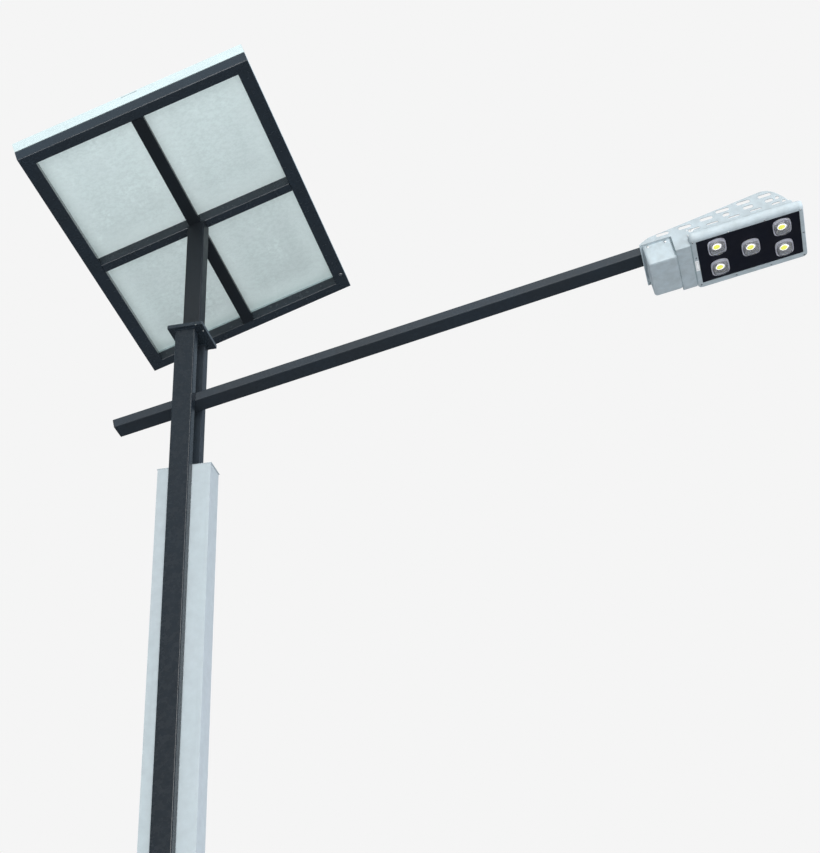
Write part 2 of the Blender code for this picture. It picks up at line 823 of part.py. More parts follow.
def build_gear_housing(axis):
    """The tray with its end lip, the neck box and the driver box below it."""
    start, end = TRAY_S
    inside_plates = HEAD_HALF - SHEET - GAP
    under = TRAY_H - SHEET
    lip, drop = under - 0.010, 0.0075
    tray = [
        (end, TRAY_H), (-0.005, TRAY_H), (start, TRAY_H - drop), (start, lip), (start + SHEET, lip),
        (start + SHEET, under - drop), (-0.004, under), (end, under),
    ]
    extruded("head_tray", [tray], 2 * inside_plates, across_head(inside_plates), grey_paint(), axis)

    left, right = NECK_S
    top = under - GAP
    neck = [
        (right, top), (right - SHEET, top), (right - SHEET, NECK_H + SHEET), (left + SHEET, NECK_H + SHEET),
        (left + SHEET, top), (left, top), (left, NECK_H), (right, NECK_H),
    ]
    extruded("neck_box", [neck], 2 * inside_plates, across_head(inside_plates), grey_paint(), axis)

    length = DRIVER_BOX_S[1] - DRIVER_BOX_S[0]
    centre = (sum(DRIVER_BOX_S) / 2, 0.0)
    wall = 0.002
    skin = (
        (0.0095, DRIVER_BOX_H + wall), (0.0045, DRIVER_BOX_H + 0.0040), (wall, DRIVER_BOX_H + 0.0090),
        (wall, top), (0.0, top), (0.0, DRIVER_BOX_H + 0.0085), (0.0025, DRIVER_BOX_H + 0.0025),
        (0.0085, DRIVER_BOX_H),
    )
    loops = skin_loops(skin, (length, 2 * DRIVER_BOX_HALF), centre, 0.012)
    lofted("driver_box", loops, HEAD, grey_paint(), axis)
    box(
        "led_driver",
        (0.022, -0.095, DRIVER_BOX_H + 0.008),
        (0.086, 0.095, DRIVER_BOX_H + 0.050),
        HEAD,
        aluminium(),
        axis,
        round_off=0.003,
    )


def top_edge(s):
    """Height of the side plates' upper edge: a straight rise to the crest, then a falling curve."""
    if s < CREST[0]:
        return CREST[1] - 0.1133 * (CREST[0] - s)
    fall = (s - CREST[0]) / (SIDE_PLATE_END - CREST[0])
    return CREST[1] - (CREST[1] - BEZEL_H[1] - GAP) * fall**2.35


def side_plate_outline():
    start = TRAY_S[0]
    left, right = NECK_S
    ring_left, ring_right = BEZEL_S[0] + 0.0265, BEZEL_S[1] - 0.0265
    under, over_ring, deep = -0.046, BEZEL_H[1] + GAP, LED_PLATE_H + 0.0026
    bottom = [
        (start, under), (left - 0.002, under), (left - 0.002, NECK_H), (right, NECK_H), (right, over_ring),
        (ring_left, over_ring), (ring_left, deep), (ring_right, deep),
    ]
    steps = 10
    falling = [SIDE_PLATE_END - (SIDE_PLATE_END - CREST[0]) * i / steps for i in range(steps + 1)]
    top = [(s, top_edge(s)) for s in (*falling, 0.027)]
    return bottom + top + [(start, TRAY_H - 0.0075)]


def side_plate_slots():
    """Three rows: one under the rising edge, one below the crest and one beside the fins."""
    places = (
        (0.085, -0.0240, 0.052), (0.176, -0.0230, 0.052), (0.265, -0.0150, 0.052), (0.334, 0.0000, 0.054),
        (0.420, 0.0065, 0.055), (0.506, 0.0085, 0.053), (0.342, -0.0245, 0.028), (0.432, -0.0210, 0.040),
        (0.516, -0.0205, 0.032), (0.549, -0.0185, 0.016), (0.208, -0.0475, 0.050), (0.282, -0.0475, 0.050),
        (0.370, -0.0475, 0.050), (0.457, -0.0475, 0.050), (0.537, -0.0450, 0.034), (0.569, -0.0430, 0.016),
    )
    return [slot((s, h), length, SLOT_TALL) for s, h, length in places]


def build_side_plates(axis):
    outlines = [side_plate_outline(), *side_plate_slots()]
    for name, y in (("near_side_plate", -HEAD_HALF + SHEET), ("far_side_plate", HEAD_HALF)):
        extruded(name, outlines, SHEET, across_head(y), grey_paint(), axis)


def bezel_loop(near, far, end, height):
    """The bezel's outline at a height, drawn in from its near side, far side and both ends."""
    width = BEZEL_S[1] - BEZEL_S[0] - 2 * end
    depth = BEZEL_Y[1] - BEZEL_Y[0] - near - far
    centre = (sum(BEZEL_S) / 2, (BEZEL_Y[0] + near + BEZEL_Y[1] - far) / 2)
    corner = BEZEL_CORNER - 0.6 * min(near, far)
    return at_height(rounded_rect(width, depth, corner, centre, steps=4), height)


def build_bezel(axis):
    """A pressed ring, rolled over on its near side and nearly square on the others."""
    low, high = BEZEL_H
    roll, square, ends = 0.021, 0.004, 0.006
    loops = []
    for turn in arc(0, 90, 5):
        share = 1 - math.sin(turn)
        height = low + roll * (1 - math.cos(turn))
        loops.append(bezel_loop(roll * share, square * share, ends * share, height))
    for inset, height in ((0.0, high - 0.004), (0.004, high), (0.026, high), (0.026, high - SHEET)):
        loops.append(bezel_loop(inset, inset, inset, height))
    loops.append(bezel_loop(SHEET, SHEET, SHEET, high - SHEET))
    bend = roll - SHEET
    for turn in arc(90, 0, 3):
        share = 1 - math.sin(turn)
        near = roll - bend * math.sin(turn)
        height = low + roll - bend * math.cos(turn)
        loops.append(bezel_loop(near, SHEET + 0.002 * share, SHEET + 0.004 * share, height))
    left, right = BEZEL_OPENING_S
    near, far = BEZEL_OPENING_Y
    middle = ((left + right) / 2, (near + far) / 2)
    opening = rounded_rect(right - left, far - near, 0.004, middle, steps=4)
    loops += [at_height(opening, low + SHEET), at_height(opening, low)]
    lofted("bezel", loops, HEAD, grey_paint(), axis, ring=True)


def build_light_engine(axis):
    """Bezel, gasket, black plate, heat sink, and the five lights with their lenses."""
    low, high = BEZEL_H
    build_bezel(axis)

    centre = (sum(BEZEL_S) / 2, 0.001)
    plate = (BEZEL_S[1] - BEZEL_S[0] - 0.026, 0.302)
    gasket_low = low + SHEET + GAP
    gasket_thick = LED_PLATE_H - GAP - gasket_low
    beside_roll = (centre[0], 0.0017)
    gasket = [
        rounded_rect(plate[0] - 0.002, 0.2972, 0.006, beside_roll),
        rounded_rect(plate[0] - 0.014, 0.2900, 0.003, beside_roll),
    ]
    extruded("bezel_gasket", gasket, gasket_thick, raised(HEAD, gasket_low), rubber(), axis)
    black = finish("black_led_plate", (0.012, 0.013, 0.018), 0.45)
    extruded(
        "led_plate", [rounded_rect(*plate, 0.006, centre)], 0.002, raised(HEAD, LED_PLATE_H), black, axis
    )
    build_heat_sink(axis, LED_PLATE_H + 0.002 + GAP)
    dx, dy = LED_STEP
    places = ((-dx, -dy), (-dx, dy), (0, 0), (dx, -dy), (dx, dy))
    for number, (s, y) in enumerate(places, 1):
        build_light(number, (LED_CENTRE_S + s, y), axis)


def arc(first, last, steps):
    """Angles in radians from first to last degrees."""
    return [math.radians(first + (last - first) * i / steps) for i in range(steps + 1)]


def build_heat_sink(axis, base):
    """A base with fins across the head, drawn as one comb."""
    start, end = 0.202, 0.598
    base_top, fin_top = base + 0.008, -0.044
    pitch = (end - start) / FIN_COUNT
    thick = 0.0030
    comb = [(start, base)]
    for fin in range(FIN_COUNT):
        left = start + fin * pitch
        right = left + thick
        comb += [(left, fin_top), (right, fin_top), (right, base_top), (left + pitch, base_top)]
    comb[-2:] = [(comb[-2][0], base_top), (end, base_top), (end, base)]
    half = HEAD_HALF - SHEET - 3 * GAP
    extruded("heat_sink", [comb], 2 * half, across_head(half), aluminium(), axis)


def lens_outline(scale):
    """A circle with two flats across the head, scaled about its centre."""
    points = []
    for x, y in circle(LENS_RADIUS, count=32):
        points.append((scale * max(-LENS_FLAT, min(LENS_FLAT, x)), scale * y))
    return points


def build_light(number, place, axis):
    seat = LED_PLATE_H - GAP
    here = HEAD @ Matrix.Translation((*place, 0))
    emitter = finish("led_emitter", (0.95, 0.88, 0.35), 0.5)
    cylinder(f"led_chip_{number}", CHIP_RADIUS, (seat - 0.0025, seat), here, emitter, axis)
    clear = finish("clear_lens", (0.85, 0.87, 0.9), 0.05, 0.0, 0.35)
    loops = [
        at_height(circle(0.024, count=32), seat - 0.0048),
        at_height(circle(0.026, count=32), seat),
        at_height(lens_outline(1.0), seat),
        at_height(lens_outline(1.0), seat - 0.006),
        at_height(lens_outline(0.93), seat - 0.012),
        at_height(lens_outline(0.78), seat - 0.017),
        at_height(lens_outline(0.52), seat - 0.020),
    ]
    lofted(f"led_lens_{number}", loops, here, clear, axis)


def build_lamp_head():
    axis = joint_empty("head_tilt_axis", PIVOT)
    build_tilt_bracket(axis)
    build_gear_housing(axis)
    build_side_plates(axis)
    build_light_engine(axis)


def main():
    clear_scene()
    build_pole()
    build_casing()
    build_door()
    build_battery_bay()
    build_panel_frame()
    build_module()
    build_arm()
    build_lamp_head()


main()
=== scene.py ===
"""Solar street lamp: the looks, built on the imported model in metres, +Z up, +X along the arm."""
import json
import math

import bmesh
import bpy
from mathutils import Matrix, Vector

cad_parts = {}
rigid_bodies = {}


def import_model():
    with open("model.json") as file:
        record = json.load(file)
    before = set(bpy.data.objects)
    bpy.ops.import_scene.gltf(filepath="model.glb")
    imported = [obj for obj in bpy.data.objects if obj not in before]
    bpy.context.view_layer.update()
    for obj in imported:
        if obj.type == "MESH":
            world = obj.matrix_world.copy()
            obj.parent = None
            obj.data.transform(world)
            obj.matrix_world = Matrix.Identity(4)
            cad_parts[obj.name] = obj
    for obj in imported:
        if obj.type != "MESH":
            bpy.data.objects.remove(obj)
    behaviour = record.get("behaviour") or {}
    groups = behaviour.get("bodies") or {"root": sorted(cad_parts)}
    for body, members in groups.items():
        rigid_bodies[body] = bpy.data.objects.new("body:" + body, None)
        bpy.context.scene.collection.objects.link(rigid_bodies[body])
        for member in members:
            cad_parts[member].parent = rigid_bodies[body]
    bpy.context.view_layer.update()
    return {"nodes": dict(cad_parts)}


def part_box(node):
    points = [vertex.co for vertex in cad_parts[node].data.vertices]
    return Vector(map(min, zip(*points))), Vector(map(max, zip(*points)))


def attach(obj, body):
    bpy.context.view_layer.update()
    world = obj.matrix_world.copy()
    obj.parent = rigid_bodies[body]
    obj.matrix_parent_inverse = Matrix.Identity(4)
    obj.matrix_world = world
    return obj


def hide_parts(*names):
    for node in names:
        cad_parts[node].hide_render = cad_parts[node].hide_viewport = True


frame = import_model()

NODES = frame["nodes"]
X, Y, Z = Vector((1, 0, 0)), Vector((0, 1, 0)), Vector((0, 0, 1))


# ---------------------------------------------------------------- frames


def sloped(degrees):
    """The direction up a slope in the XZ plane, and the normal to it."""
    turn = math.radians(degrees)
    return Vector((math.cos(turn), 0, math.sin(turn))), Vector((-math.sin(turn), 0, math.cos(turn)))


def frame_of(origin, x_axis, y_axis, z_axis):
    rows = Matrix((x_axis, y_axis, z_axis)).transposed().to_4x4()
    return Matrix.Translation(Vector(origin)) @ rows


CAP_HEIGHT = 6.0
PANEL_U, PANEL_N = sloped(18.56)
ARM_A = sloped(11.95)[0]
HEAD_S, HEAD_N = sloped(10.7)
PANEL = frame_of((0.0015, 0, CAP_HEIGHT + 0.570), PANEL_U, Y, PANEL_N)
HEAD_ORIGIN = Vector((0, 0, CAP_HEIGHT - 0.315)) + 1.928 * ARM_A
HEAD = frame_of(HEAD_ORIGIN, HEAD_S, Y, HEAD_N)


def on_head(s, y, h):
    return HEAD @ Vector((s, y, h))


# ---------------------------------------------------------------- material nodes


class Nodes:
    """A material's node tree with short ways to add what these finishes need."""

    def __init__(self, name):
        self.material = bpy.data.materials.new(name)
        self.material.use_nodes = True
        self.tree = self.material.node_tree
        self.shader = self.tree.nodes["Principled BSDF"]
        self.spot = -300

    def add(self, kind, **settings):
        node = self.tree.nodes.new("ShaderNode" + kind)
        self.spot -= 60
        node.location = (self.spot, self.spot / 4)
        for key, value in settings.items():
            setattr(node, key, value)
        return node

    def feed(self, socket, value):
        if isinstance(value, bpy.types.NodeSocket):
            self.tree.links.new(value, socket)
        else:
            socket.default_value = value

    def set(self, name, value):
        if name in ("Base Color", "Emission Color") and not isinstance(value, bpy.types.NodeSocket):
            value = (*value, 1.0)
        self.feed(self.shader.inputs[name], value)

    def place(self, scale=(1, 1, 1)):
        """Coordinates fixed to the object, stretched by scale."""
        coords = self.add("TexCoord").outputs["Object"]
        mapping = self.add("Mapping")
        mapping.inputs["Scale"].default_value = scale
        self.feed(mapping.inputs["Vector"], coords)
        return mapping.outputs["Vector"]

    def noise(self, scale, detail=3.0, rough=0.55, stretch=(1, 1, 1)):
        node = self.add("TexNoise")
        self.feed(node.inputs["Vector"], self.place(stretch))
        node.inputs["Scale"].default_value = scale
        node.inputs["Detail"].default_value = detail
        node.inputs["Roughness"].default_value = rough
        return node.outputs["Fac"]

    def cells(self, scale):
        """The outputs of a cell pattern."""
        node = self.add("TexVoronoi")
        self.feed(node.inputs["Vector"], self.place())
        node.inputs["Scale"].default_value = scale
        return node.outputs

    def span(self, value, low, high, to_low=0.0, to_high=1.0):
        """value from low..high mapped to to_low..to_high, held inside."""
        node = self.add("MapRange")
        self.feed(node.inputs["Value"], value)
        ends = {"From Min": low, "From Max": high, "To Min": to_low, "To Max": to_high}
        for name, number in ends.items():
            node.inputs[name].default_value = number
        return node.outputs["Result"]

    def maths(self, operation, a, b=0.0):
        node = self.add("Math", operation=operation)
        self.feed(node.inputs[0], a)
        self.feed(node.inputs[1], b)
        return node.outputs[0]

    def mix(self, amount, a, b):
        """Colour a turning to b by amount."""
        node = self.add("Mix", data_type="RGBA")
        self.feed(node.inputs["Factor"], amount)
        for socket, value in zip((node.inputs[6], node.inputs[7]), (a, b)):
            if not isinstance(value, bpy.types.NodeSocket):
                value = (*value, 1.0)
            self.feed(socket, value)
        return node.outputs[2]

    def edges(self, radius=0.0015, low=0.02, high=0.25):
        """1 along sharp edges, 0 on flat faces."""
        soft = self.add("Bevel", samples=4)
        soft.inputs["Radius"].default_value = radius
        flat = self.add("NewGeometry").outputs["Normal"]
        dot = self.add("VectorMath", operation="DOT_PRODUCT")
        self.feed(dot.inputs[0], soft.outputs["Normal"])
        self.feed(dot.inputs[1], flat)
        return self.span(self.maths("SUBTRACT", 1.0, dot.outputs["Value"]), low, high)

    def facing_up(self, low=0.3, high=0.9):
        split = self.add("SeparateXYZ")
        self.feed(split.inputs[0], self.add("NewGeometry").outputs["Normal"])
        return self.span(split.outputs["Z"], low, high)

    def bump(self, height, strength, distance=0.001):
        node = self.add("Bump")
        node.inputs["Strength"].default_value = strength
        node.inputs["Distance"].default_value = distance
        self.feed(node.inputs["Height"], height)
        self.set("Normal", node.outputs["Normal"])


def shade(colour, factor):
    return tuple(c * factor for c in colour)


def powder_coat(
    name, tones, worn, dust, rough, specular, drift, streak=0.0, grit=0.3, wear=0.5, mottle=0.3
):
    """Sprayed powder paint: orange peel, drifting tone, dust on what faces up and pale worn edges."""
    n = Nodes(name)
    first, second = tones
    long_drift = n.noise(drift, 4.0, 0.6, (1, 1, 0.35))
    tone = n.mix(n.span(long_drift, 0.34, 0.66), first, second)
    cloud = n.noise(26.0, 5.0, 0.65)
    tone = n.mix(n.span(cloud, 0.36, 0.64, 0, mottle), tone, shade(second, 0.80))
    if streak:
        runs = n.noise(60.0, 3.0, 0.6, (1, 1, 0.03))
        tone = n.mix(n.span(runs, 0.54, 0.76, 0, streak), tone, shade(first, 0.78))
    specks = n.noise(330.0, 2.0, 0.7)
    tone = n.mix(n.span(specks, 0.60, 0.78, 0, grit), tone, shade(first, 0.60))
    settled = n.maths("MULTIPLY", n.facing_up(), n.span(n.noise(24.0, 4.0, 0.65), 0.35, 0.7))
    tone = n.mix(n.maths("MULTIPLY", settled, 0.40), tone, dust)
    chips = n.maths("MULTIPLY", n.edges(), n.span(n.noise(140.0, 3.0, 0.6), 0.44, 0.62))
    tone = n.mix(n.maths("MULTIPLY", chips, wear), tone, worn)
    n.set("Base Color", tone)
    n.set("Roughness", n.span(n.noise(35.0, 4.0, 0.6), 0.3, 0.7, *rough))
    n.set("Specular IOR Level", specular)
    n.bump(n.noise(1400.0, 2.0, 0.5), 0.15, 0.0004)
    return n.material


def anodised(name, colour, metallic, rough):
    """Drawn and anodised aluminium: fine die lines along the profile."""
    n = Nodes(name)
    lines = n.noise(900.0, 2.0, 0.5)
    cloud = n.noise(5.0, 3.0, 0.6)
    tone = n.mix(n.span(cloud, 0.3, 0.7), shade(colour, 0.93), shade(colour, 1.04))
    tone = n.mix(n.span(lines, 0.35, 0.7, 0, 0.35), tone, shade(colour, 0.86))
    grime = n.span(n.noise(38.0, 5.0, 0.7), 0.58, 0.75, 0, 0.3)
    tone = n.mix(grime, tone, shade(colour, 0.62))
    n.set("Base Color", tone)
    n.set("Metallic", metallic)
    n.set("Roughness", n.span(lines, 0.3, 0.7, *rough))
    n.bump(lines, 0.12, 0.0003)
    return n.material


def zinc(name):
    """Bright zinc plating, with the bluish and straw patches that it has."""
    n = Nodes(name)
    patch = n.noise(90.0, 3.0, 0.6)
    tone = n.mix(n.span(patch, 0.35, 0.65), (0.50, 0.53, 0.58), (0.62, 0.60, 0.54))
    tone = n.mix(n.span(n.noise(300.0, 3.0, 0.7), 0.6, 0.78, 0, 0.5), tone, (0.30, 0.29, 0.28))
    n.set("Base Color", tone)
    n.set("Metallic", 0.9)
    n.set("Roughness", n.span(patch, 0.3, 0.7, 0.28, 0.5))
    n.bump(n.noise(800.0), 0.15, 0.0003)
    return n.material


def moulded(name, colour, rough=(0.45, 0.62), grain=2200.0, strength=0.25):
    """Moulded plastic or rubber with a fine grain."""
    n = Nodes(name)
    tone = n.mix(n.span(n.noise(18.0, 4.0), 0.3, 0.7), shade(colour, 0.85), shade(colour, 1.15))
    dusty = n.maths("MULTIPLY", n.facing_up(), n.span(n.noise(70.0, 4.0), 0.4, 0.7, 0, 0.35))
    tone = n.mix(dusty, tone, (0.30, 0.29, 0.27))
    n.set("Base Color", tone)
    n.set("Roughness", n.span(n.noise(60.0, 3.0), 0.3, 0.7, *rough))
    n.bump(n.noise(grain, 2.0), strength, 0.0003)
    return n.material


def clear_cover(name, tint, rough, ior=1.5, clear=1.0, film=0.06):
    """Clear glass or acrylic with a faint film of dust; clear is how little it hazes."""
    n = Nodes(name)
    n.set("Base Color", n.mix(n.span(n.noise(12.0, 4.0, 0.6), 0.4, 0.8, 0, 0.3), tint, shade(tint, 0.9)))
    n.set("Transmission Weight", clear)
    n.set("IOR", ior)
    n.set("Roughness", n.span(n.noise(30.0, 4.0, 0.65), 0.35, 0.75, rough, rough + film))
    return n.material


def film_white(name):
    """The module's white back film, with the soft cloudy print of the cells' lamination; painted lighter
    where the frame's tubes shade it, and given a faint glow of painted light.
    """
    n = Nodes(name)
    cloud = n.noise(5.5, 6.0, 0.62)
    tone = n.mix(n.span(cloud, 0.35, 0.68), (0.530, 0.610, 0.610), (0.545, 0.650, 0.640))
    wipe = n.noise(9.0, 5.0, 0.7, (1.0, 0.35, 1.0))
    tone = n.mix(n.span(wipe, 0.56, 0.66, 0, 0.8), tone, (0.66, 0.77, 0.76))
    grain = n.noise(48.0, 4.0, 0.75)
    tone = n.mix(n.span(grain, 0.42, 0.60, 0, 0.9), tone, (0.45, 0.535, 0.53))
    specks = n.noise(260.0, 2.0, 0.7)
    tone = n.mix(n.span(specks, 0.62, 0.8, 0, 0.25), tone, (0.36, 0.42, 0.41))
    # Darker towards the far side (+Y).
    across = n.add("SeparateXYZ")
    n.feed(across.inputs[0], n.place())
    far = n.span(across.outputs["Y"], -0.75, 0.75)
    tone = n.mix(far, tone, n.mix(0.28, tone, (0.0, 0.0, 0.0)))
    # Lighter where the frame's tubes shade the film: painted light over that shade.
    near_tube = n.add("AmbientOcclusion", samples=8)
    near_tube.inputs["Distance"].default_value = 0.12
    rim = n.span(near_tube.outputs["AO"], 0.55, 1.0, 0.48, 0.0)
    tone = n.mix(rim, tone, (0.84, 0.95, 0.94))
    n.set("Base Color", tone)
    # A faint glow, weaker towards the far side: painted light, since the film is no lamp.
    n.set("Emission Color", n.mix(far, (0.61, 0.71, 0.71), (0.46, 0.54, 0.535)))
    n.set("Emission Strength", 0.35)
    n.set("Roughness", n.span(cloud, 0.3, 0.7, 0.42, 0.6))
    n.bump(n.noise(180.0, 4.0, 0.6), 0.12, 0.0005)
    return n.material


def silicon(name):
    """Multicrystalline cells: crystal grains of varied blue and fine silver fingers across them."""
    n = Nodes(name)
    tint = n.add("SeparateColor")
    n.feed(tint.inputs[0], n.cells(110.0)["Color"])
    tone = n.mix(tint.outputs[0], (0.006, 0.018, 0.080), (0.018, 0.060, 0.210))
    tone = n.mix(n.span(n.noise(3.0), 0.35, 0.65, 0, 0.5), tone, (0.008, 0.022, 0.090))
    wave = n.add("TexWave", bands_direction="Y")
    n.feed(wave.inputs["Vector"], n.place())
    wave.inputs["Scale"].default_value = 78.0
    finger = n.span(wave.outputs["Fac"], 0.95, 0.99, 0, 0.35)
    tone = n.mix(finger, tone, (0.12, 0.15, 0.21))
    n.set("Base Color", tone)
    n.set("Roughness", n.span(tint.outputs[1], 0, 1, 0.40, 0.55))
    n.set("Specular IOR Level", 0.2)
    return n.material


def tinned(name):
    n = Nodes(name)
    n.set("Base Color", n.mix(n.span(n.noise(120.0), 0.3, 0.7), (0.55, 0.56, 0.57), (0.74, 0.74, 0.73)))
    n.set("Metallic", 0.85)
    n.set("Roughness", n.span(n.noise(200.0), 0.3, 0.7, 0.3, 0.5))
    return n.material


def led_black(name):
    """The LED board's black coating, slightly dusty."""
    n = Nodes(name)
    cloud = n.span(n.noise(14.0, 5.0, 0.65), 0.35, 0.7)
    tone = n.mix(cloud, (0.0055, 0.0070, 0.0150), (0.0080, 0.0085, 0.0150))
    tone = n.mix(n.span(n.noise(260.0, 3.0, 0.7), 0.64, 0.8, 0, 0.3), tone, (0.03, 0.032, 0.04))
    n.set("Base Color", tone)
    n.set("Roughness", n.span(n.noise(22.0, 4.0), 0.3, 0.7, 0.45, 0.6))
    n.set("Specular IOR Level", 0.25)
    n.bump(n.noise(900.0, 2.0), 0.12, 0.0003)
    return n.material


def ceramic(name):
    n = Nodes(name)
    tone = n.mix(n.span(n.noise(140.0, 3.0), 0.3, 0.7), (0.86, 0.87, 0.86), (0.93, 0.93, 0.91))
    n.set("Base Color", tone)
    n.set("Roughness", n.span(n.noise(300.0), 0.3, 0.7, 0.3, 0.45))
    # The white carrier glows though it gives no light of its own: painted light.
    n.set("Emission Color", (1.0, 1.0, 0.95))
    n.set("Emission Strength", 1.3)
    return n.material


def phosphor(name):
    n = Nodes(name)
    tone = n.mix(n.span(n.cells(900.0)["Distance"], 0.2, 0.8), (0.80, 0.80, 0.03), (0.72, 0.68, 0.02))
    n.set("Base Color", tone)
    n.set("Roughness", n.span(n.noise(500.0), 0.3, 0.7, 0.60, 0.75))
    n.set("Specular IOR Level", 0.2)
    n.set("Emission Color", (0.95, 0.95, 0.03))
    n.set("Emission Strength", 1.15)
    n.bump(n.noise(1500.0), 0.05, 0.0003)
    return n.material


def weld_metal(name, colour):
    """A painted weld bead."""
    n = Nodes(name)
    n.set("Base Color", n.mix(n.span(n.noise(80.0), 0.3, 0.7), shade(colour, 0.8), shade(colour, 1.3)))
    n.set("Roughness", n.span(n.noise(90.0), 0.3, 0.7, 0.55, 0.75))
    n.set("Specular IOR Level", 0.15)
    n.bump(n.noise(260.0, 3.0), 0.3, 0.001)
    return n.material


BLACK_TONE = (0.0172, 0.0262, 0.0362)
GREY_TONE = (0.330, 0.396, 0.418)
HEAD_TONE = (0.404, 0.482, 0.522)
black = powder_coat(
    "black_powder_coat", (BLACK_TONE, (0.0182, 0.0248, 0.0312)), (0.07, 0.08, 0.09), (0.09, 0.09, 0.085),
    (0.20, 0.30), 0.42, 1.6, grit=0.12, wear=0.08,
)
# A darker, less glossy copy of the black coat for the panel post and the long cross bar: painted shade.
black_painted_shade = powder_coat(
    "black_coat_painted_shade", (shade(BLACK_TONE, 0.60), (0.0120, 0.0148, 0.0175)), (0.05, 0.06, 0.07),
    (0.08, 0.08, 0.075), (0.35, 0.45), 0.18, 1.6, grit=0.12, wear=0.08,
)
# A lighter, less glossy copy of the black coat for the arm: painted light, standing in for the gloss taken
# off its edges.
arm_black_painted_light = powder_coat(
    "arm_coat_painted_light", (shade(BLACK_TONE, 1.10), (0.0220, 0.0272, 0.0327)), (0.05, 0.06, 0.07),
    (0.08, 0.08, 0.075), (0.38, 0.48), 0.28, 1.6, grit=0.12, wear=0.05,
)
# A darker copy of the black coat for the front column: painted shade.
column_black_painted_shade = powder_coat(
    "front_column_coat_painted_shade", (shade(BLACK_TONE, 0.62), (0.0112, 0.0150, 0.0190)), (0.07, 0.08, 0.09),
    (0.09, 0.09, 0.085), (0.22, 0.32), 0.38, 1.6, grit=0.12, wear=0.06,
)
# A lighter, matter copy of the black coat for the rear column: painted light on the face that the front
# column shades.
rear_black_painted_light = powder_coat(
    "rear_column_coat_painted_light", (shade(BLACK_TONE, 1.30), (0.0255, 0.0315, 0.0375)), (0.07, 0.08, 0.09),
    (0.09, 0.09, 0.085), (0.35, 0.45), 0.12, 1.6, grit=0.12, wear=0.05,
)
grey = powder_coat(
    "grey_powder_coat", (GREY_TONE, (0.348, 0.396, 0.426)), (0.56, 0.60, 0.61), (0.30, 0.30, 0.28),
    (0.45, 0.60), 0.35, 2.2, streak=0.25, mottle=0.45,
)
head_grey = powder_coat(
    "head_grey_paint", (HEAD_TONE, (0.400, 0.462, 0.490)), (0.58, 0.62, 0.63), (0.32, 0.32, 0.30),
    (0.38, 0.52), 0.4, 16.0, mottle=0.75,
)
# A lighter copy of the head paint for the head tray: painted light in the shade under the head.
tray_grey_painted_light = powder_coat(
    "head_tray_painted_light", (shade(HEAD_TONE, 1.30), (0.52, 0.60, 0.635)), (0.62, 0.66, 0.67),
    (0.32, 0.32, 0.30), (0.38, 0.52), 0.4, 16.0, mottle=0.75,
)
# A darker copy of the head paint for the side plates and the fin-end strips: painted shade.
plate_grey_painted_shade = powder_coat(
    "side_plate_painted_shade", (shade(HEAD_TONE, 0.89), (0.356, 0.411, 0.437)), (0.52, 0.56, 0.57),
    (0.32, 0.32, 0.30), (0.38, 0.52), 0.4, 16.0, mottle=0.75,
)
alloy = anodised("module_rail_alloy", (0.54, 0.64, 0.65), metallic=0.3, rough=(0.36, 0.48))
sink_alloy = anodised("heat_sink_alloy", (0.52, 0.56, 0.58), metallic=0.5, rough=(0.42, 0.55))
zinc_plate = zinc("zinc_plated_steel")
stainless = anodised("stainless_screws", (0.60, 0.61, 0.62), metallic=0.95, rough=(0.22, 0.34))
plastic = moulded("black_moulded_plastic", (0.014, 0.015, 0.017))
seal = moulded("black_rubber_seal", (0.012, 0.012, 0.012), (0.7, 0.85), 1500.0, 0.4)
# Darker grey-green for the strips in the head's seams: painted shade.
seam_shade_paint = moulded("seam_painted_shade", (0.270, 0.350, 0.365), (0.5, 0.7), 1500.0, 0.1)
battery_blue = moulded("battery_case_plastic", (0.035, 0.13, 0.28), (0.4, 0.55))
controller_grey = moulded("controller_case_plastic", (0.055, 0.060, 0.068), (0.45, 0.6))
back_film = film_white("module_back_film")
cell_film = moulded("cell_backing_film", (0.78, 0.80, 0.80), (0.35, 0.5), 800.0, 0.05)
cell_silicon = silicon("multicrystalline_cells")
ribbon = tinned("tinned_ribbon")
cover_glass = clear_cover("module_cover_glass", (0.97, 1.0, 0.99), 0.01, 1.45, film=0.015)
lens_clear = clear_cover("lens_acrylic", (0.95, 0.96, 0.99), 0.03, 1.35, 0.88)
optic_clear = clear_cover("inner_optic_acrylic", (0.98, 0.98, 1.0), 0.02, 1.12, 0.96, 0.02)
lens_frost = clear_cover("lens_rim_acrylic", (0.80, 0.81, 0.90), 0.30, 1.40, 0.50)
board_black = led_black("led_board_black")
chip_white_painted_glow = ceramic("chip_ceramic_painted_glow")
chip_yellow = phosphor("chip_phosphor")
bead = weld_metal("painted_weld", BLACK_TONE)
label_white = moulded("label_film", (0.80, 0.82, 0.82), (0.3, 0.4), 600.0, 0.05)
label_grey = moulded("label_border", (0.22, 0.24, 0.26), (0.3, 0.4), 600.0, 0.05)
slot_lip = moulded("rail_slot_lip", (0.52, 0.61, 0.63), (0.3, 0.4), 600.0, 0.05)
# The drain slots' darker colour: painted shade where the slots are hollows.
slot_shade_paint = moulded("rail_slot_painted_shade", (0.27, 0.33, 0.34), (0.4, 0.5), 600.0, 0.05)

# ---------------------------------------------------------------- finishing the CAD nodes


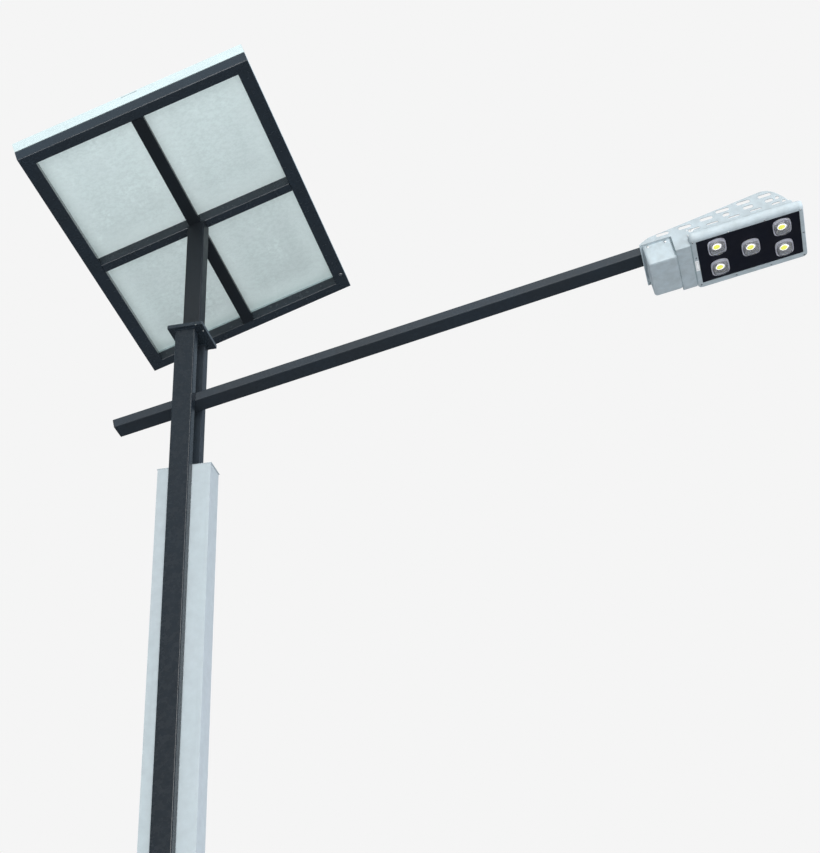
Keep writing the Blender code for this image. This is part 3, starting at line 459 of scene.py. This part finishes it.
def smooth_group():
    """A modifier that shades smooth but for edges sharper than 32 degrees."""
    group = bpy.data.node_groups.new("smooth_by_angle", "GeometryNodeTree")
    group.interface.new_socket("Geometry", in_out="INPUT", socket_type="NodeSocketGeometry")
    group.interface.new_socket("Geometry", in_out="OUTPUT", socket_type="NodeSocketGeometry")
    come = group.nodes.new("NodeGroupInput")
    go = group.nodes.new("NodeGroupOutput")
    faces = group.nodes.new("GeometryNodeSetShadeSmooth")
    sharp = group.nodes.new("GeometryNodeSetShadeSmooth")
    sharp.domain = "EDGE"
    angle = group.nodes.new("GeometryNodeInputMeshEdgeAngle")
    compare = group.nodes.new("FunctionNodeCompare")
    compare.operation = "GREATER_THAN"
    compare.inputs[1].default_value = math.radians(32)
    link = group.links.new
    link(come.outputs[0], faces.inputs["Geometry"])
    link(faces.outputs[0], sharp.inputs["Geometry"])
    link(angle.outputs["Unsigned Angle"], compare.inputs[0])
    link(compare.outputs[0], sharp.inputs["Selection"])
    sharp.inputs["Shade Smooth"].default_value = False
    link(sharp.outputs[0], go.inputs[0])
    return group


SMOOTH = smooth_group()


def smooth(obj):
    """Smooth shading: large flat faces stay flat, and the rounded edges take the turn."""
    obj.modifiers.new("smooth", "NODES").node_group = SMOOTH
    weigh = obj.modifiers.new("normals", "WEIGHTED_NORMAL")
    weigh.keep_sharp = True
    weigh.weight = 80


def dress(name, material, round_off):
    """Gives a CAD node its finish, and rounds its edges by modifiers."""
    node = NODES[name]
    node.data.materials.clear()
    node.data.materials.append(material)
    weld = node.modifiers.new("weld", "WELD")
    weld.merge_threshold = 0.00002
    if round_off:
        flat = node.modifiers.new("flat", "DECIMATE")
        flat.decimate_type = "DISSOLVE"
        flat.angle_limit = math.radians(0.8)
        bevel = node.modifiers.new("edges", "BEVEL")
        bevel.width = round_off
        bevel.segments = 2
        bevel.angle_limit = math.radians(40)
    smooth(node)


DRESS = {
    "base_flange": (black, 0.0015),
    "front_column": (column_black_painted_shade, 0.0006), "rear_column": (rear_black_painted_light, 0.0006),
    "cap_plate": (black, 0.0010), "panel_post": (black_painted_shade, 0.0006), "arm_tube": (arm_black_painted_light, 0.0006),
    "near_frame_tube": (black, 0), "far_frame_tube": (black, 0), "low_frame_tube": (black, 0),
    "high_frame_tube": (black, 0), "long_cross_bar": (black_painted_shade, 0.0010), "low_cross_bar": (black, 0.0010),
    "high_cross_bar": (black, 0.0010), "tilt_bracket": (black, 0.0008),
    "arm_tail_cap": (plastic, 0.0005), "junction_box": (plastic, 0),
    "lower_casing": (grey, 0.0008), "upper_casing": (grey, 0.0008), "casing_lid": (grey, 0.0006),
    "service_door": (grey, 0), "door_gasket": (seal, 0), "bezel_gasket": (seal, 0),
    "lower_hinge_leaf": (zinc_plate, 0), "upper_hinge_leaf": (zinc_plate, 0),
    "lower_hinge_pin": (zinc_plate, 0.0003), "upper_hinge_pin": (zinc_plate, 0.0003),
    "battery_shelf": (zinc_plate, 0.0005), "battery_pack": (battery_blue, 0),
    "charge_controller": (controller_grey, 0),
    "lock_body": (stainless, 0.0004), "lock_plug": (stainless, 0), "lock_cam": (zinc_plate, 0.0003),
    "near_module_rail": (alloy, 0.0004), "far_module_rail": (alloy, 0.0004),
    "low_module_rail": (alloy, 0.0004), "high_module_rail": (alloy, 0.0004),
    "backsheet": (back_film, 0), "cell_layer": (cell_film, 0), "module_glass": (cover_glass, 0),
    "head_tray": (tray_grey_painted_light, 0.0004), "neck_box": (head_grey, 0.0008), "driver_box": (head_grey, 0),
    "near_side_plate": (plate_grey_painted_shade, 0.0004), "far_side_plate": (plate_grey_painted_shade, 0.0004),
    "bezel": (head_grey, 0), "led_plate": (board_black, 0.0003), "heat_sink": (sink_alloy, 0.0004),
    "led_driver": (sink_alloy, 0), "tilt_bolt": (zinc_plate, 0.0005), "tilt_nut": (zinc_plate, 0.0004),
}
for node_name, (finish, round_off) in DRESS.items():
    dress(node_name, finish, round_off)

# ---------------------------------------------------------------- new pieces


def piece(name, edit, matrix, material, body):
    """A new piece from a bmesh in its own frame, shaded smooth, riding on a body."""
    bmesh.ops.recalc_face_normals(edit, faces=edit.faces)
    mesh = bpy.data.meshes.new(name)
    edit.to_mesh(mesh)
    edit.free()
    mesh.materials.append(material)
    made = bpy.data.objects.new(name, mesh)
    bpy.context.scene.collection.objects.link(made)
    made.matrix_world = matrix
    smooth(made)
    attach(made, body)
    return made


def ring(edit, points):
    return [edit.verts.new(point) for point in points]


def bridge(edit, low, high):
    count = len(low)
    for i in range(count):
        j = (i + 1) % count
        edit.faces.new((low[i], low[j], high[j], high[i]))


def loft(edit, loops, caps=True):
    """A skin through the loops, with a face at each end, or else closed on itself."""
    rows = [ring(edit, loop) for loop in loops]
    for low, high in zip(rows, rows[1:]):
        bridge(edit, low, high)
    if caps:
        edit.faces.new(rows[0])
        edit.faces.new(rows[-1])
    else:
        bridge(edit, rows[-1], rows[0])


def circle(radius, z, count=24, centre=(0, 0)):
    turns = [2 * math.pi * i / count for i in range(count)]
    return [(centre[0] + radius * math.cos(t), centre[1] + radius * math.sin(t), z) for t in turns]


def pan_screw(edit, matrix, radius, height):
    """A pan-head screw with a cross recess, added to edit with its head along the matrix's z axis."""
    start = len(edit.verts)
    profile = [
        (radius * 0.98, -0.0002), (radius, height * 0.25), (radius * 0.93, height * 0.65),
        (radius * 0.74, height * 0.92), (radius * 0.46, height), (radius * 0.40, height),
        (radius * 0.30, height * 0.45),
    ]
    loft(edit, [circle(r, z, 16) for r, z in profile])
    edit.verts.ensure_lookup_table()
    new = edit.verts[start:]
    recess = [v for v in new if v.co.z > height * 0.99 or abs(v.co.z - height * 0.45) < 1e-7]
    for vert in recess:
        turn = math.atan2(vert.co.y, vert.co.x)
        reach = vert.co.xy.length
        if reach < radius * 0.44:
            pinch = 0.55 + 0.45 * abs(math.cos(2 * turn))
            vert.co.x *= pinch
            vert.co.y *= pinch
    bmesh.ops.transform(edit, matrix=matrix, verts=new)


def screws(name, places, size, material, body):
    """One piece for a set of screws, from pairs of a head's place and the way it faces."""
    radius, height = size
    edit = bmesh.new()
    for number, (spot, out) in enumerate(places):
        turn = Vector(out).to_track_quat("Z", "Y").to_matrix().to_4x4()
        spin = Matrix.Rotation(0.7 * number, 4, "Z")
        pan_screw(edit, Matrix.Translation(Vector(spot)) @ turn @ spin, radius, height)
    piece(name, edit, Matrix(), material, body)


# Lights: a domed clear lens with two flats, a white carrier and a yellow emitter behind it
LED_BACK = -0.1077
LED_CENTRE = 0.405
LED_PLACES = ((-0.131, -0.070), (-0.131, 0.070), (0, 0), (0.131, -0.070), (0.131, 0.070))


def lens_loop(scale, z):
    """A circle that runs over into two flats across the head."""
    radius, flat, soft, count = 0.052, 0.037, 6.0, 48
    points = []
    for i in range(count):
        turn = 2 * math.pi * i / count
        x, y = radius * math.cos(turn), radius * math.sin(turn)
        x = x / (1 + abs(x / flat) ** soft) ** (1 / soft)
        points.append((scale * x, scale * y, z))
    return points


def at_light(place):
    return HEAD @ Matrix.Translation((LED_CENTRE + place[0], place[1], LED_BACK))


def build_lens(number, place):
    """A clear dome on a frosted flange, hollow over the emitter."""
    edit = bmesh.new()
    outside = [
        (0.50, 0.0), (1.0, 0.0), (1.0, 0.0046), (0.985, 0.0056), (0.905, 0.0058), (0.885, 0.0050),
        (0.865, 0.0066), (0.845, 0.0098), (0.79, 0.0132), (0.70, 0.0160), (0.56, 0.0182), (0.38, 0.0194),
        (0.18, 0.0199),
    ]
    inside = [
        (0.18, 0.0179), (0.36, 0.0174), (0.53, 0.0162), (0.66, 0.0140), (0.745, 0.0112), (0.79, 0.0080),
        (0.80, 0.0030), (0.60, 0.0024), (0.50, 0.0024),
    ]
    rows = [ring(edit, lens_loop(scale, -z)) for scale, z in outside]
    for low, high in zip(rows, rows[1:]):
        bridge(edit, low, high)
    edit.faces.new(rows[-1])
    hollow = [ring(edit, lens_loop(scale, -z)) for scale, z in inside]
    for low, high in zip(hollow, hollow[1:]):
        bridge(edit, low, high)
    edit.faces.new(hollow[0])
    bridge(edit, hollow[-1], rows[0])
    made = piece(f"lens_{number}", edit, at_light(place), lens_clear, "head")
    made.data.materials.append(lens_frost)
    flange_height, flange_start = 0.0060, 0.036
    for face in made.data.polygons:
        reach = max(math.hypot(*made.data.vertices[i].co.xy) for i in face.vertices)
        if face.center.z > -flange_height and reach > flange_start:
            face.material_index = 1
    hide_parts(f"led_lens_{number}")


def build_inner_optic(number, place):
    """The small freeform dome that sits right over the emitter."""
    edit = bmesh.new()
    outside = [(0.0262, 0.0024), (0.0250, 0.0070), (0.0215, 0.0105), (0.0160, 0.0126), (0.0090, 0.0132)]
    inside = [(0.0086, 0.0118), (0.0150, 0.0112), (0.0200, 0.0092), (0.0232, 0.0062), (0.0242, 0.0024)]
    rows = [ring(edit, circle(r, -z, 40)) for r, z in outside + inside]
    for low, high in zip(rows[:5], rows[1:5]):
        bridge(edit, low, high)
    for low, high in zip(rows[5:], rows[6:]):
        bridge(edit, low, high)
    edit.faces.new(rows[4])
    edit.faces.new(rows[5])
    bridge(edit, rows[-1], rows[0])
    piece(f"inner_optic_{number}", edit, at_light(place), optic_clear, "head")


def build_chip(number, place):
    """The white carrier, and the yellow emitter standing a little off its centre."""
    here = at_light(place)
    edit = bmesh.new()
    profile = [(0.0190, 0.0), (0.0190, 0.0012), (0.0183, 0.0018), (0.0142, 0.0021), (0.0136, 0.0016)]
    loft(edit, [circle(r, -z, 40) for r, z in profile])
    carrier = piece(f"chip_carrier_{number}", edit, here, chip_white_painted_glow, "head")
    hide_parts(f"led_chip_{number}")
    edit = bmesh.new()
    profile = [(0.0132, 0.0017), (0.0132, 0.0021), (0.0118, 0.0028), (0.0082, 0.0034), (0.0032, 0.0037)]
    centre = (-0.0015, 0)
    loft(edit, [circle(r, -z, 40, centre) for r, z in profile])
    piece(f"chip_emitter_{number}", edit, here, chip_yellow, "head")


for led_number, led_place in enumerate(LED_PLACES, 1):
    build_lens(led_number, led_place)
    build_inner_optic(led_number, led_place)
    build_chip(led_number, led_place)

# Screws: the radius and the height of a head
BEZEL_SCREW = (0.0038, 0.0024)
BOX_SCREW = (0.0055, 0.0032)
PLATE_SCREW = (0.0036, 0.0020)
EARTHING_BOLT = (0.0085, 0.0045)
CAP_BOLT = (0.0040, 0.0030)
LEAF_SCREW = (0.0019, 0.0012)
TERMINAL_SCREW = (0.0021, 0.0010)

# Screws of the lamp head, at places along it, across it and up from its axis
DOWN = -HEAD_N
BEZEL_FACE = -0.112
BOX_SIDE = 0.1131
PLATE_SIDE = 0.1401
bezel_spots = [(s, -0.1476) for s in (0.182, 0.326, 0.472, 0.614)]
bezel_spots += [(0.188, 0.1480), (0.333, 0.1535), (0.476, 0.1565), (0.612, 0.1565)]
bezel_spots += [(0.1868, -0.041), (0.6175, 0.005)]
bezel_places = [(on_head(s, y, BEZEL_FACE), DOWN) for s, y in bezel_spots]
screws("bezel_screws", bezel_places, BEZEL_SCREW, stainless, "head")
box_places = [
    (on_head(s, side * BOX_SIDE, -0.0435), side * Y) for s in (0.0165, 0.087) for side in (-1, 1)
]
screws("driver_box_screws", box_places, BOX_SCREW, stainless, "head")
plate_places = [
    (on_head(s, side * PLATE_SIDE, h), side * Y)
    for s, h in ((0.1785, -0.0415), (0.176, -0.067), (0.196, -0.048), (0.588, -0.070))
    for side in (-1, 1)
]
screws("side_plate_screws", plate_places, PLATE_SCREW, stainless, "head")

# ---------------------------------------------------------------- module

RAIL_BASE = 0.0483  # the rails' underside, above the steel frame's
GROOVE_BASE = 0.0381  # where the laminate sits, from the rails' underside
LAYER_GAP = 0.0003
BACKSHEET_THICK = 0.0006
CELL_LAYER_THICK = 0.0005
CELL = 0.156
CELL_CORNER = 0.0035
CELL_PITCH_U, CELL_PITCH_V = 0.1585, 0.1575
CELL_LEVEL = RAIL_BASE + GROOVE_BASE + LAYER_GAP + BACKSHEET_THICK + LAYER_GAP + CELL_LAYER_THICK
RIBBON_HALF_LENGTH, RIBBON_HALF_WIDTH, RIBBON_THICK = 0.7845, 0.0008, 0.00006


def flat_box(edit, low, high):
    made = bmesh.ops.create_cube(edit, size=1.0)["verts"]
    size = [b - a for a, b in zip(low, high)]
    middle = [(a + b) / 2 for a, b in zip(low, high)]
    bmesh.ops.scale(edit, verts=made, vec=size)
    bmesh.ops.translate(edit, verts=made, vec=middle)


def soft_strip(edit, low, high, soft):
    """A strip across the head, with the four edges along it cut back by soft."""
    s0, y0, h0 = low
    s1, y1, h1 = high
    outline = [
        (s0 + soft, h0), (s1 - soft, h0), (s1, h0 + soft), (s1, h1 - soft),
        (s1 - soft, h1), (s0 + soft, h1), (s0, h1 - soft), (s0, h0 + soft),
    ]
    loft(edit, [[(s, y, h) for s, h in outline] for y in (y0, y1)])


def boxes(name, corners, make, matrix, material, body):
    """One piece from the low and high corners of a set of boxes or strips."""
    edit = bmesh.new()
    for low, high in corners:
        make(edit, low, high)
    piece(name, edit, matrix, material, body)


def build_cells():
    """Six columns of ten cells, and three ribbons along each column."""
    edit = bmesh.new()
    for column in range(6):
        for row in range(10):
            u = (column - 2.5) * CELL_PITCH_U
            v = (row - 4.5) * CELL_PITCH_V
            half, cut = CELL / 2, CELL_CORNER
            outline = [
                (half - cut, half), (-half + cut, half), (-half, half - cut), (-half, -half + cut),
                (-half + cut, -half), (half - cut, -half), (half, -half + cut), (half, half - cut),
            ]
            low = [(u + x, v + y, CELL_LEVEL + 0.00002) for x, y in outline]
            high = [(x, y, z + 0.00016) for x, y, z in low]
            loft(edit, [low, high])
    piece("solar_cells", edit, PANEL, cell_silicon, "pole")

    edit = bmesh.new()
    top = CELL_LEVEL + 0.00018
    for column in range(6):
        for bar in (-0.052, 0.0, 0.052):
            u = (column - 2.5) * CELL_PITCH_U + bar
            flat_box(
                edit, (u - RIBBON_HALF_WIDTH, -RIBBON_HALF_LENGTH, top),
                (u + RIBBON_HALF_WIDTH, RIBBON_HALF_LENGTH, top + RIBBON_THICK),
            )
    piece("cell_ribbons", edit, PANEL, ribbon, "pole")


build_cells()

# Drain slots near the top of the module rails' near and far sides, each with its raised lip; each slot is a
# darker plate on the rail's face, painted shade for its hollow


RAIL_SLOT = (0.009, 0.0872)


def round_slot(edit, half, tall, y, out):
    """A slot with round ends, flat on the y plane, as a thin plate standing out by out."""
    u, h = RAIL_SLOT
    loop = []
    for i in range(24):
        turn = 2 * math.pi * i / 24
        side = 1 if math.cos(turn) >= 0 else -1
        loop.append((u + side * (half - tall) + tall * math.cos(turn), h + tall * math.sin(turn)))
    loft(edit, [[(x, y - out, z) for x, z in loop], [(x, y + out, z) for x, z in loop]])


# The darker slot plates are painted shade.
for slot_piece, half_long, half_tall, rail_face, out, finish, slot_name in (
    ("rail_slot_lips", 0.037, 0.0042, 0.80552, 0.00035, slot_lip, "anodised_aluminium"),
    ("rail_drain_slots", 0.035, 0.0026, 0.80560, 0.00045, slot_shade_paint, "black_rubber"),
):
    edit = bmesh.new()
    for side in (-1, 1):
        round_slot(edit, half_long, half_tall, side * rail_face, out)
    piece(slot_piece, edit, PANEL, finish, "pole")

# The bolt that earths the module's frame, with its head under the far corner
earthing_place = PANEL @ Vector((0.4753, 0.693, 0.0001))
screws("earthing_bolt", [(earthing_place, -PANEL_N)], EARTHING_BOLT, stainless, "pole")

# Weld beads where the tubes meet


def weld_run(name, points, radius, matrix=Matrix(), closed=False):
    """A bead along points: a tube with the ripples that a hand weld has."""
    ripple, sides = 0.0045, 8
    edit = bmesh.new()
    spots = []
    count = len(points)
    spans = count if closed else count - 1
    for i in range(spans):
        a, b = Vector(points[i]), Vector(points[(i + 1) % count])
        steps = max(2, int((b - a).length / ripple))
        spots += [(a.lerp(b, k / steps), (b - a).normalized()) for k in range(steps)]
    if not closed:
        spots.append((Vector(points[-1]), (Vector(points[-1]) - Vector(points[-2])).normalized()))
    rows = []
    for number, (spot, along) in enumerate(spots):
        side = along.cross(Z if abs(along.z) < 0.9 else X).normalized()
        up = side.cross(along).normalized()
        size = radius * (0.86 + 0.14 * math.cos(number * 2.1))
        rows.append(ring(edit, [
            spot + size * (math.cos(t) * side + math.sin(t) * up)
            for t in (2 * math.pi * k / sides for k in range(sides))
        ]))
    for low, high in zip(rows, rows[1:]):
        bridge(edit, low, high)
    if closed:
        bridge(edit, rows[-1], rows[0])
    else:
        edit.faces.new(rows[0])
        edit.faces.new(rows[-1])
    piece(name, edit, matrix, bead, "pole")


def around(half_x, half_y, centre, z):
    """The four corners of a tube's foot."""
    cx, cy = centre
    return [
        (cx + half_x, cy + half_y, z), (cx - half_x, cy + half_y, z),
        (cx - half_x, cy - half_y, z), (cx + half_x, cy - half_y, z),
    ]


weld_run("post_foot_weld", around(0.0375, 0.034, (0.006, 0), 6.0168), 0.0028, closed=True)
COLUMN_HALF_X, COLUMN_HALF_Y, COLUMN_PLACE = 0.043, 0.0225, 0.065
for label, side in (("front", -1), ("rear", 1)):
    for end, z, radius in (("foot", 0.0208, 0.0032), ("head", 5.9992, 0.0024)):
        corners = around(COLUMN_HALF_X, COLUMN_HALF_Y, (0, side * COLUMN_PLACE), z)
        weld_run(f"{label}_column_{end}_weld", corners, radius, closed=True)
FRAME_HALF_U, FRAME_HALF_V = 0.496, 0.8055
for label, su, sv in (("a", -1, -1), ("b", -1, 1), ("c", 1, -1), ("d", 1, 1)):
    ends = [
        (su * (FRAME_HALF_U - inset), sv * (FRAME_HALF_V - inset), -0.0003) for inset in (0.056, 0.005)
    ]
    weld_run(f"frame_corner_weld_{label}", ends, 0.0013, matrix=PANEL)

# The three bolts under the cap plate
cap_spots = ((0.051, -0.105), (0.0665, -0.055), (-0.055, 0.040))
screws("cap_plate_bolts", [((x, y, 5.9999), -Z) for x, y in cap_spots], CAP_BOLT, stainless, "pole")

# ---------------------------------------------------------------- door and bay
leaf_places = []
for leaf in ("lower_hinge_leaf", "upper_hinge_leaf"):
    low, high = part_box(leaf)
    from_end = 0.012
    for z in (low.z + from_end, high.z - from_end):
        leaf_places.append(((low.x + 0.0016, high.y - 0.0024, z), X))
screws("hinge_leaf_screws", leaf_places, LEAF_SCREW, stainless, "pole")

# Two straps around the battery
battery_low, battery_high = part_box("battery_pack")
edit = bmesh.new()
strap_gap, strap, strap_wide = 0.0002, 0.0010, 0.020
for z in (0.68, 0.95):
    loops = []
    for grow, level in ((strap_gap, 0), (strap, 0), (strap, strap_wide), (strap_gap, strap_wide)):
        x0, y0 = battery_low.x - grow, battery_low.y - grow
        x1, y1 = battery_high.x + grow, battery_high.y + grow
        loops.append([(x, y, z + level) for x, y in ((x0, y0), (x1, y0), (x1, y1), (x0, y1))])
    loft(edit, loops, caps=False)
piece("battery_straps", edit, Matrix(), plastic, "pole")

# The controller's terminal block, a comb with one screw in each bay
case_low, case_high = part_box("charge_controller")
bays, bay, rib = 4, 0.0058, 0.0010
start_y, block_x = case_low.y + 0.0030, case_high.x + 0.0002
deep, bay_floor = 0.0062, 0.0036
comb = [(block_x, start_y)]
for number in range(bays):
    y = start_y + number * (bay + rib)
    comb += [(block_x + deep, y), (block_x + deep, y + rib)]
    comb += [(block_x + bay_floor, y + rib), (block_x + bay_floor, y + rib + bay)]
last_y = start_y + bays * (bay + rib)
comb += [(block_x + deep, last_y), (block_x + deep, last_y + rib), (block_x, last_y + rib)]
edit = bmesh.new()
loft(edit, [[(x, y, case_low.z + z) for x, y in comb] for z in (0.004, 0.015)])
piece("controller_terminal_block", edit, Matrix(), plastic, "pole")
terminal_places = [
    ((block_x + 0.0037, start_y + rib + bay / 2 + number * (bay + rib), case_low.z + 0.0095), X)
    for number in range(bays)
]
screws("controller_terminal_screws", terminal_places, TERMINAL_SCREW, zinc_plate, "pole")

# Strips that close the heat sink's fin ends, just inside the slotted side plates, in the side plates'
# darker paint: painted shade
fin_strips = [
    ((0.2030, near, -0.0980), (0.5970, far, -0.0450))
    for near, far in ((-0.13835, -0.13780), (0.13780, 0.13835))
]
boxes(
    "fin_end_strips", fin_strips, lambda edit, low, high: soft_strip(edit, low, high, 0.0060),
    HEAD, plate_grey_painted_shade, "head",
)

# Grey-green strips that fill the two seams across the lamp head: painted shade in the seams
seams = (
    ((0.1112, -0.1120, -0.1184), (0.1149, 0.1120, -0.0370)),
    ((0.1716, -0.1380, -0.1106), (0.1756, 0.1380, -0.0900)),
)
boxes(
    "seam_painted_shade", seams, lambda edit, low, high: soft_strip(edit, low, high, 0.0004),
    HEAD, seam_shade_paint, "head",
)

# Label, blank but for a thin border, on the bezel's strip nearest the arm
label_box = ((0.1785, -0.0210, -0.11245), (0.1935, 0.0480, -0.11215))
boxes("blank_label", [label_box], flat_box, HEAD, label_white, "head")
LINE = 0.0008
border_low, border_high = -0.11260, -0.11240
border = [((s, -0.0120, border_low), (s + LINE, 0.0380, border_high)) for s in (0.1815, 0.1900)]
border += [((0.1815, y, border_low), (0.1908, y + LINE, border_high)) for y in (-0.0120, 0.0372)]
boxes("blank_label_border", border, flat_box, HEAD, label_grey, "head")

# ---------------------------------------------------------------- stage, light and camera
FLOOR_HALF = 400.0
edit = bmesh.new()
bmesh.ops.create_grid(edit, x_segments=2, y_segments=2, size=FLOOR_HALF)
floor_mesh = bpy.data.meshes.new("floor")
edit.to_mesh(floor_mesh)
edit.free()
floor = bpy.data.objects.new("floor", floor_mesh)
bpy.context.scene.collection.objects.link(floor)
floor.location.z = -0.0005
ground = Nodes("pale_floor")
rays = ground.add("LightPath").outputs
lit = ground.mix(rays["Is Camera Ray"], (0.49, 0.495, 0.50), (0.66, 0.665, 0.67))
ground.set("Base Color", ground.mix(rays["Is Glossy Ray"], lit, (0.05, 0.06, 0.07)))
ground.set("Roughness", 0.9)
ground.set("Specular IOR Level", 0.1)
floor_mesh.materials.append(ground.material)

world = bpy.data.worlds.new("studio")
bpy.context.scene.world = world
world.use_nodes = True
tree = world.node_tree
sky = tree.nodes["Background"]
sky.inputs["Color"].default_value = (0.90, 0.965, 1.0, 1.0)
sky.inputs["Strength"].default_value = 0.48
plain = tree.nodes.new("ShaderNodeBackground")
plain.inputs["Color"].default_value = (0.913, 0.913, 0.913, 1.0)
mirrored = tree.nodes.new("ShaderNodeBackground")
mirrored.inputs["Color"].default_value = (0.70, 0.86, 1.0, 1.0)
direction = tree.nodes.new("ShaderNodeTexCoord")
height = tree.nodes.new("ShaderNodeSeparateXYZ")
tree.links.new(direction.outputs["Generated"], height.inputs[0])
rise = tree.nodes.new("ShaderNodeMapRange")
for end_name, number in {"From Min": 0.34, "From Max": 0.72, "To Min": 0.04, "To Max": 0.95}.items():
    rise.inputs[end_name].default_value = number
tree.links.new(height.outputs["Z"], rise.inputs["Value"])
tree.links.new(rise.outputs["Result"], mirrored.inputs["Strength"])
path = tree.nodes.new("ShaderNodeLightPath")
last = sky
for ray, background in (("Is Glossy Ray", mirrored), ("Is Camera Ray", plain)):
    choose = tree.nodes.new("ShaderNodeMixShader")
    tree.links.new(path.outputs[ray], choose.inputs[0])
    tree.links.new(last.outputs[0], choose.inputs[1])
    tree.links.new(background.outputs[0], choose.inputs[2])
    last = choose
tree.links.new(last.outputs[0], tree.nodes["World Output"].inputs["Surface"])


def sun(name, azimuth, elevation, strength, colour, spread):
    """A far light, shining from the azimuth (0 is the -Y side, 90 the +X side) and elevation."""
    data = bpy.data.lights.new(name, "SUN")
    data.energy = strength
    data.color = colour
    data.angle = math.radians(spread)
    made = bpy.data.objects.new(name, data)
    bpy.context.scene.collection.objects.link(made)
    a, e = math.radians(azimuth), math.radians(elevation)
    back = Vector((math.sin(a) * math.cos(e), -math.cos(a) * math.cos(e), math.sin(e)))
    made.rotation_mode = "QUATERNION"
    made.rotation_quaternion = back.to_track_quat("Z", "Y")
    return made


def shines_past(light, names, group):
    """The named objects cast no shadow in this light."""
    passed = bpy.data.collections.new(group)
    for number, passed_name in enumerate(names):
        passed.objects.link(bpy.data.objects[passed_name])
        light.light_linking.blocker_collection = passed
        passed.collection_objects[number].light_linking.link_state = "EXCLUDE"


key = sun("key", 12, 15, 2.88, (1.0, 0.98, 0.955), 36)
shines_past(key, ("near_side_plate", "head_tray"), "past_the_head_sides")
for fill in (
    sun("side", 88, 25, 3.25, (0.99, 0.95, 1.0), 36),
    sun("back", 232, 20, 1.3, (0.97, 0.98, 1.0), 60),
):
    fill.visible_glossy = False
lift = sun("lift", 12, -37, 1.34, (0.97, 0.98, 1.0), 26)
shines_past(lift, ("floor",), "past_the_floor")

LENS_MM, SENSOR_MM = 82.443, 36.0
CAMERA_PLACE = Vector((2.3394, -6.4128, 1.5616))
camera_data = bpy.data.cameras.new("camera")
camera_data.lens = LENS_MM
camera_data.sensor_width = SENSOR_MM
camera_data.clip_end = 400.0
camera = bpy.data.objects.new("camera", camera_data)
bpy.context.scene.collection.objects.link(camera)
tilt, turn, roll = math.radians(30.583), math.radians(-12.511), math.radians(-1.239)
ahead = Vector((math.sin(turn) * math.cos(tilt), math.cos(turn) * math.cos(tilt), math.sin(tilt)))
level = Vector((math.cos(turn), -math.sin(turn), 0))
upright = level.cross(ahead)
right = math.cos(roll) * level + math.sin(roll) * upright
up = math.cos(roll) * upright - math.sin(roll) * level
camera.matrix_world = frame_of(CAMERA_PLACE, right, up, -ahead)
bpy.context.scene.camera = camera
bpy.context.scene.view_settings.view_transform = "Standard"
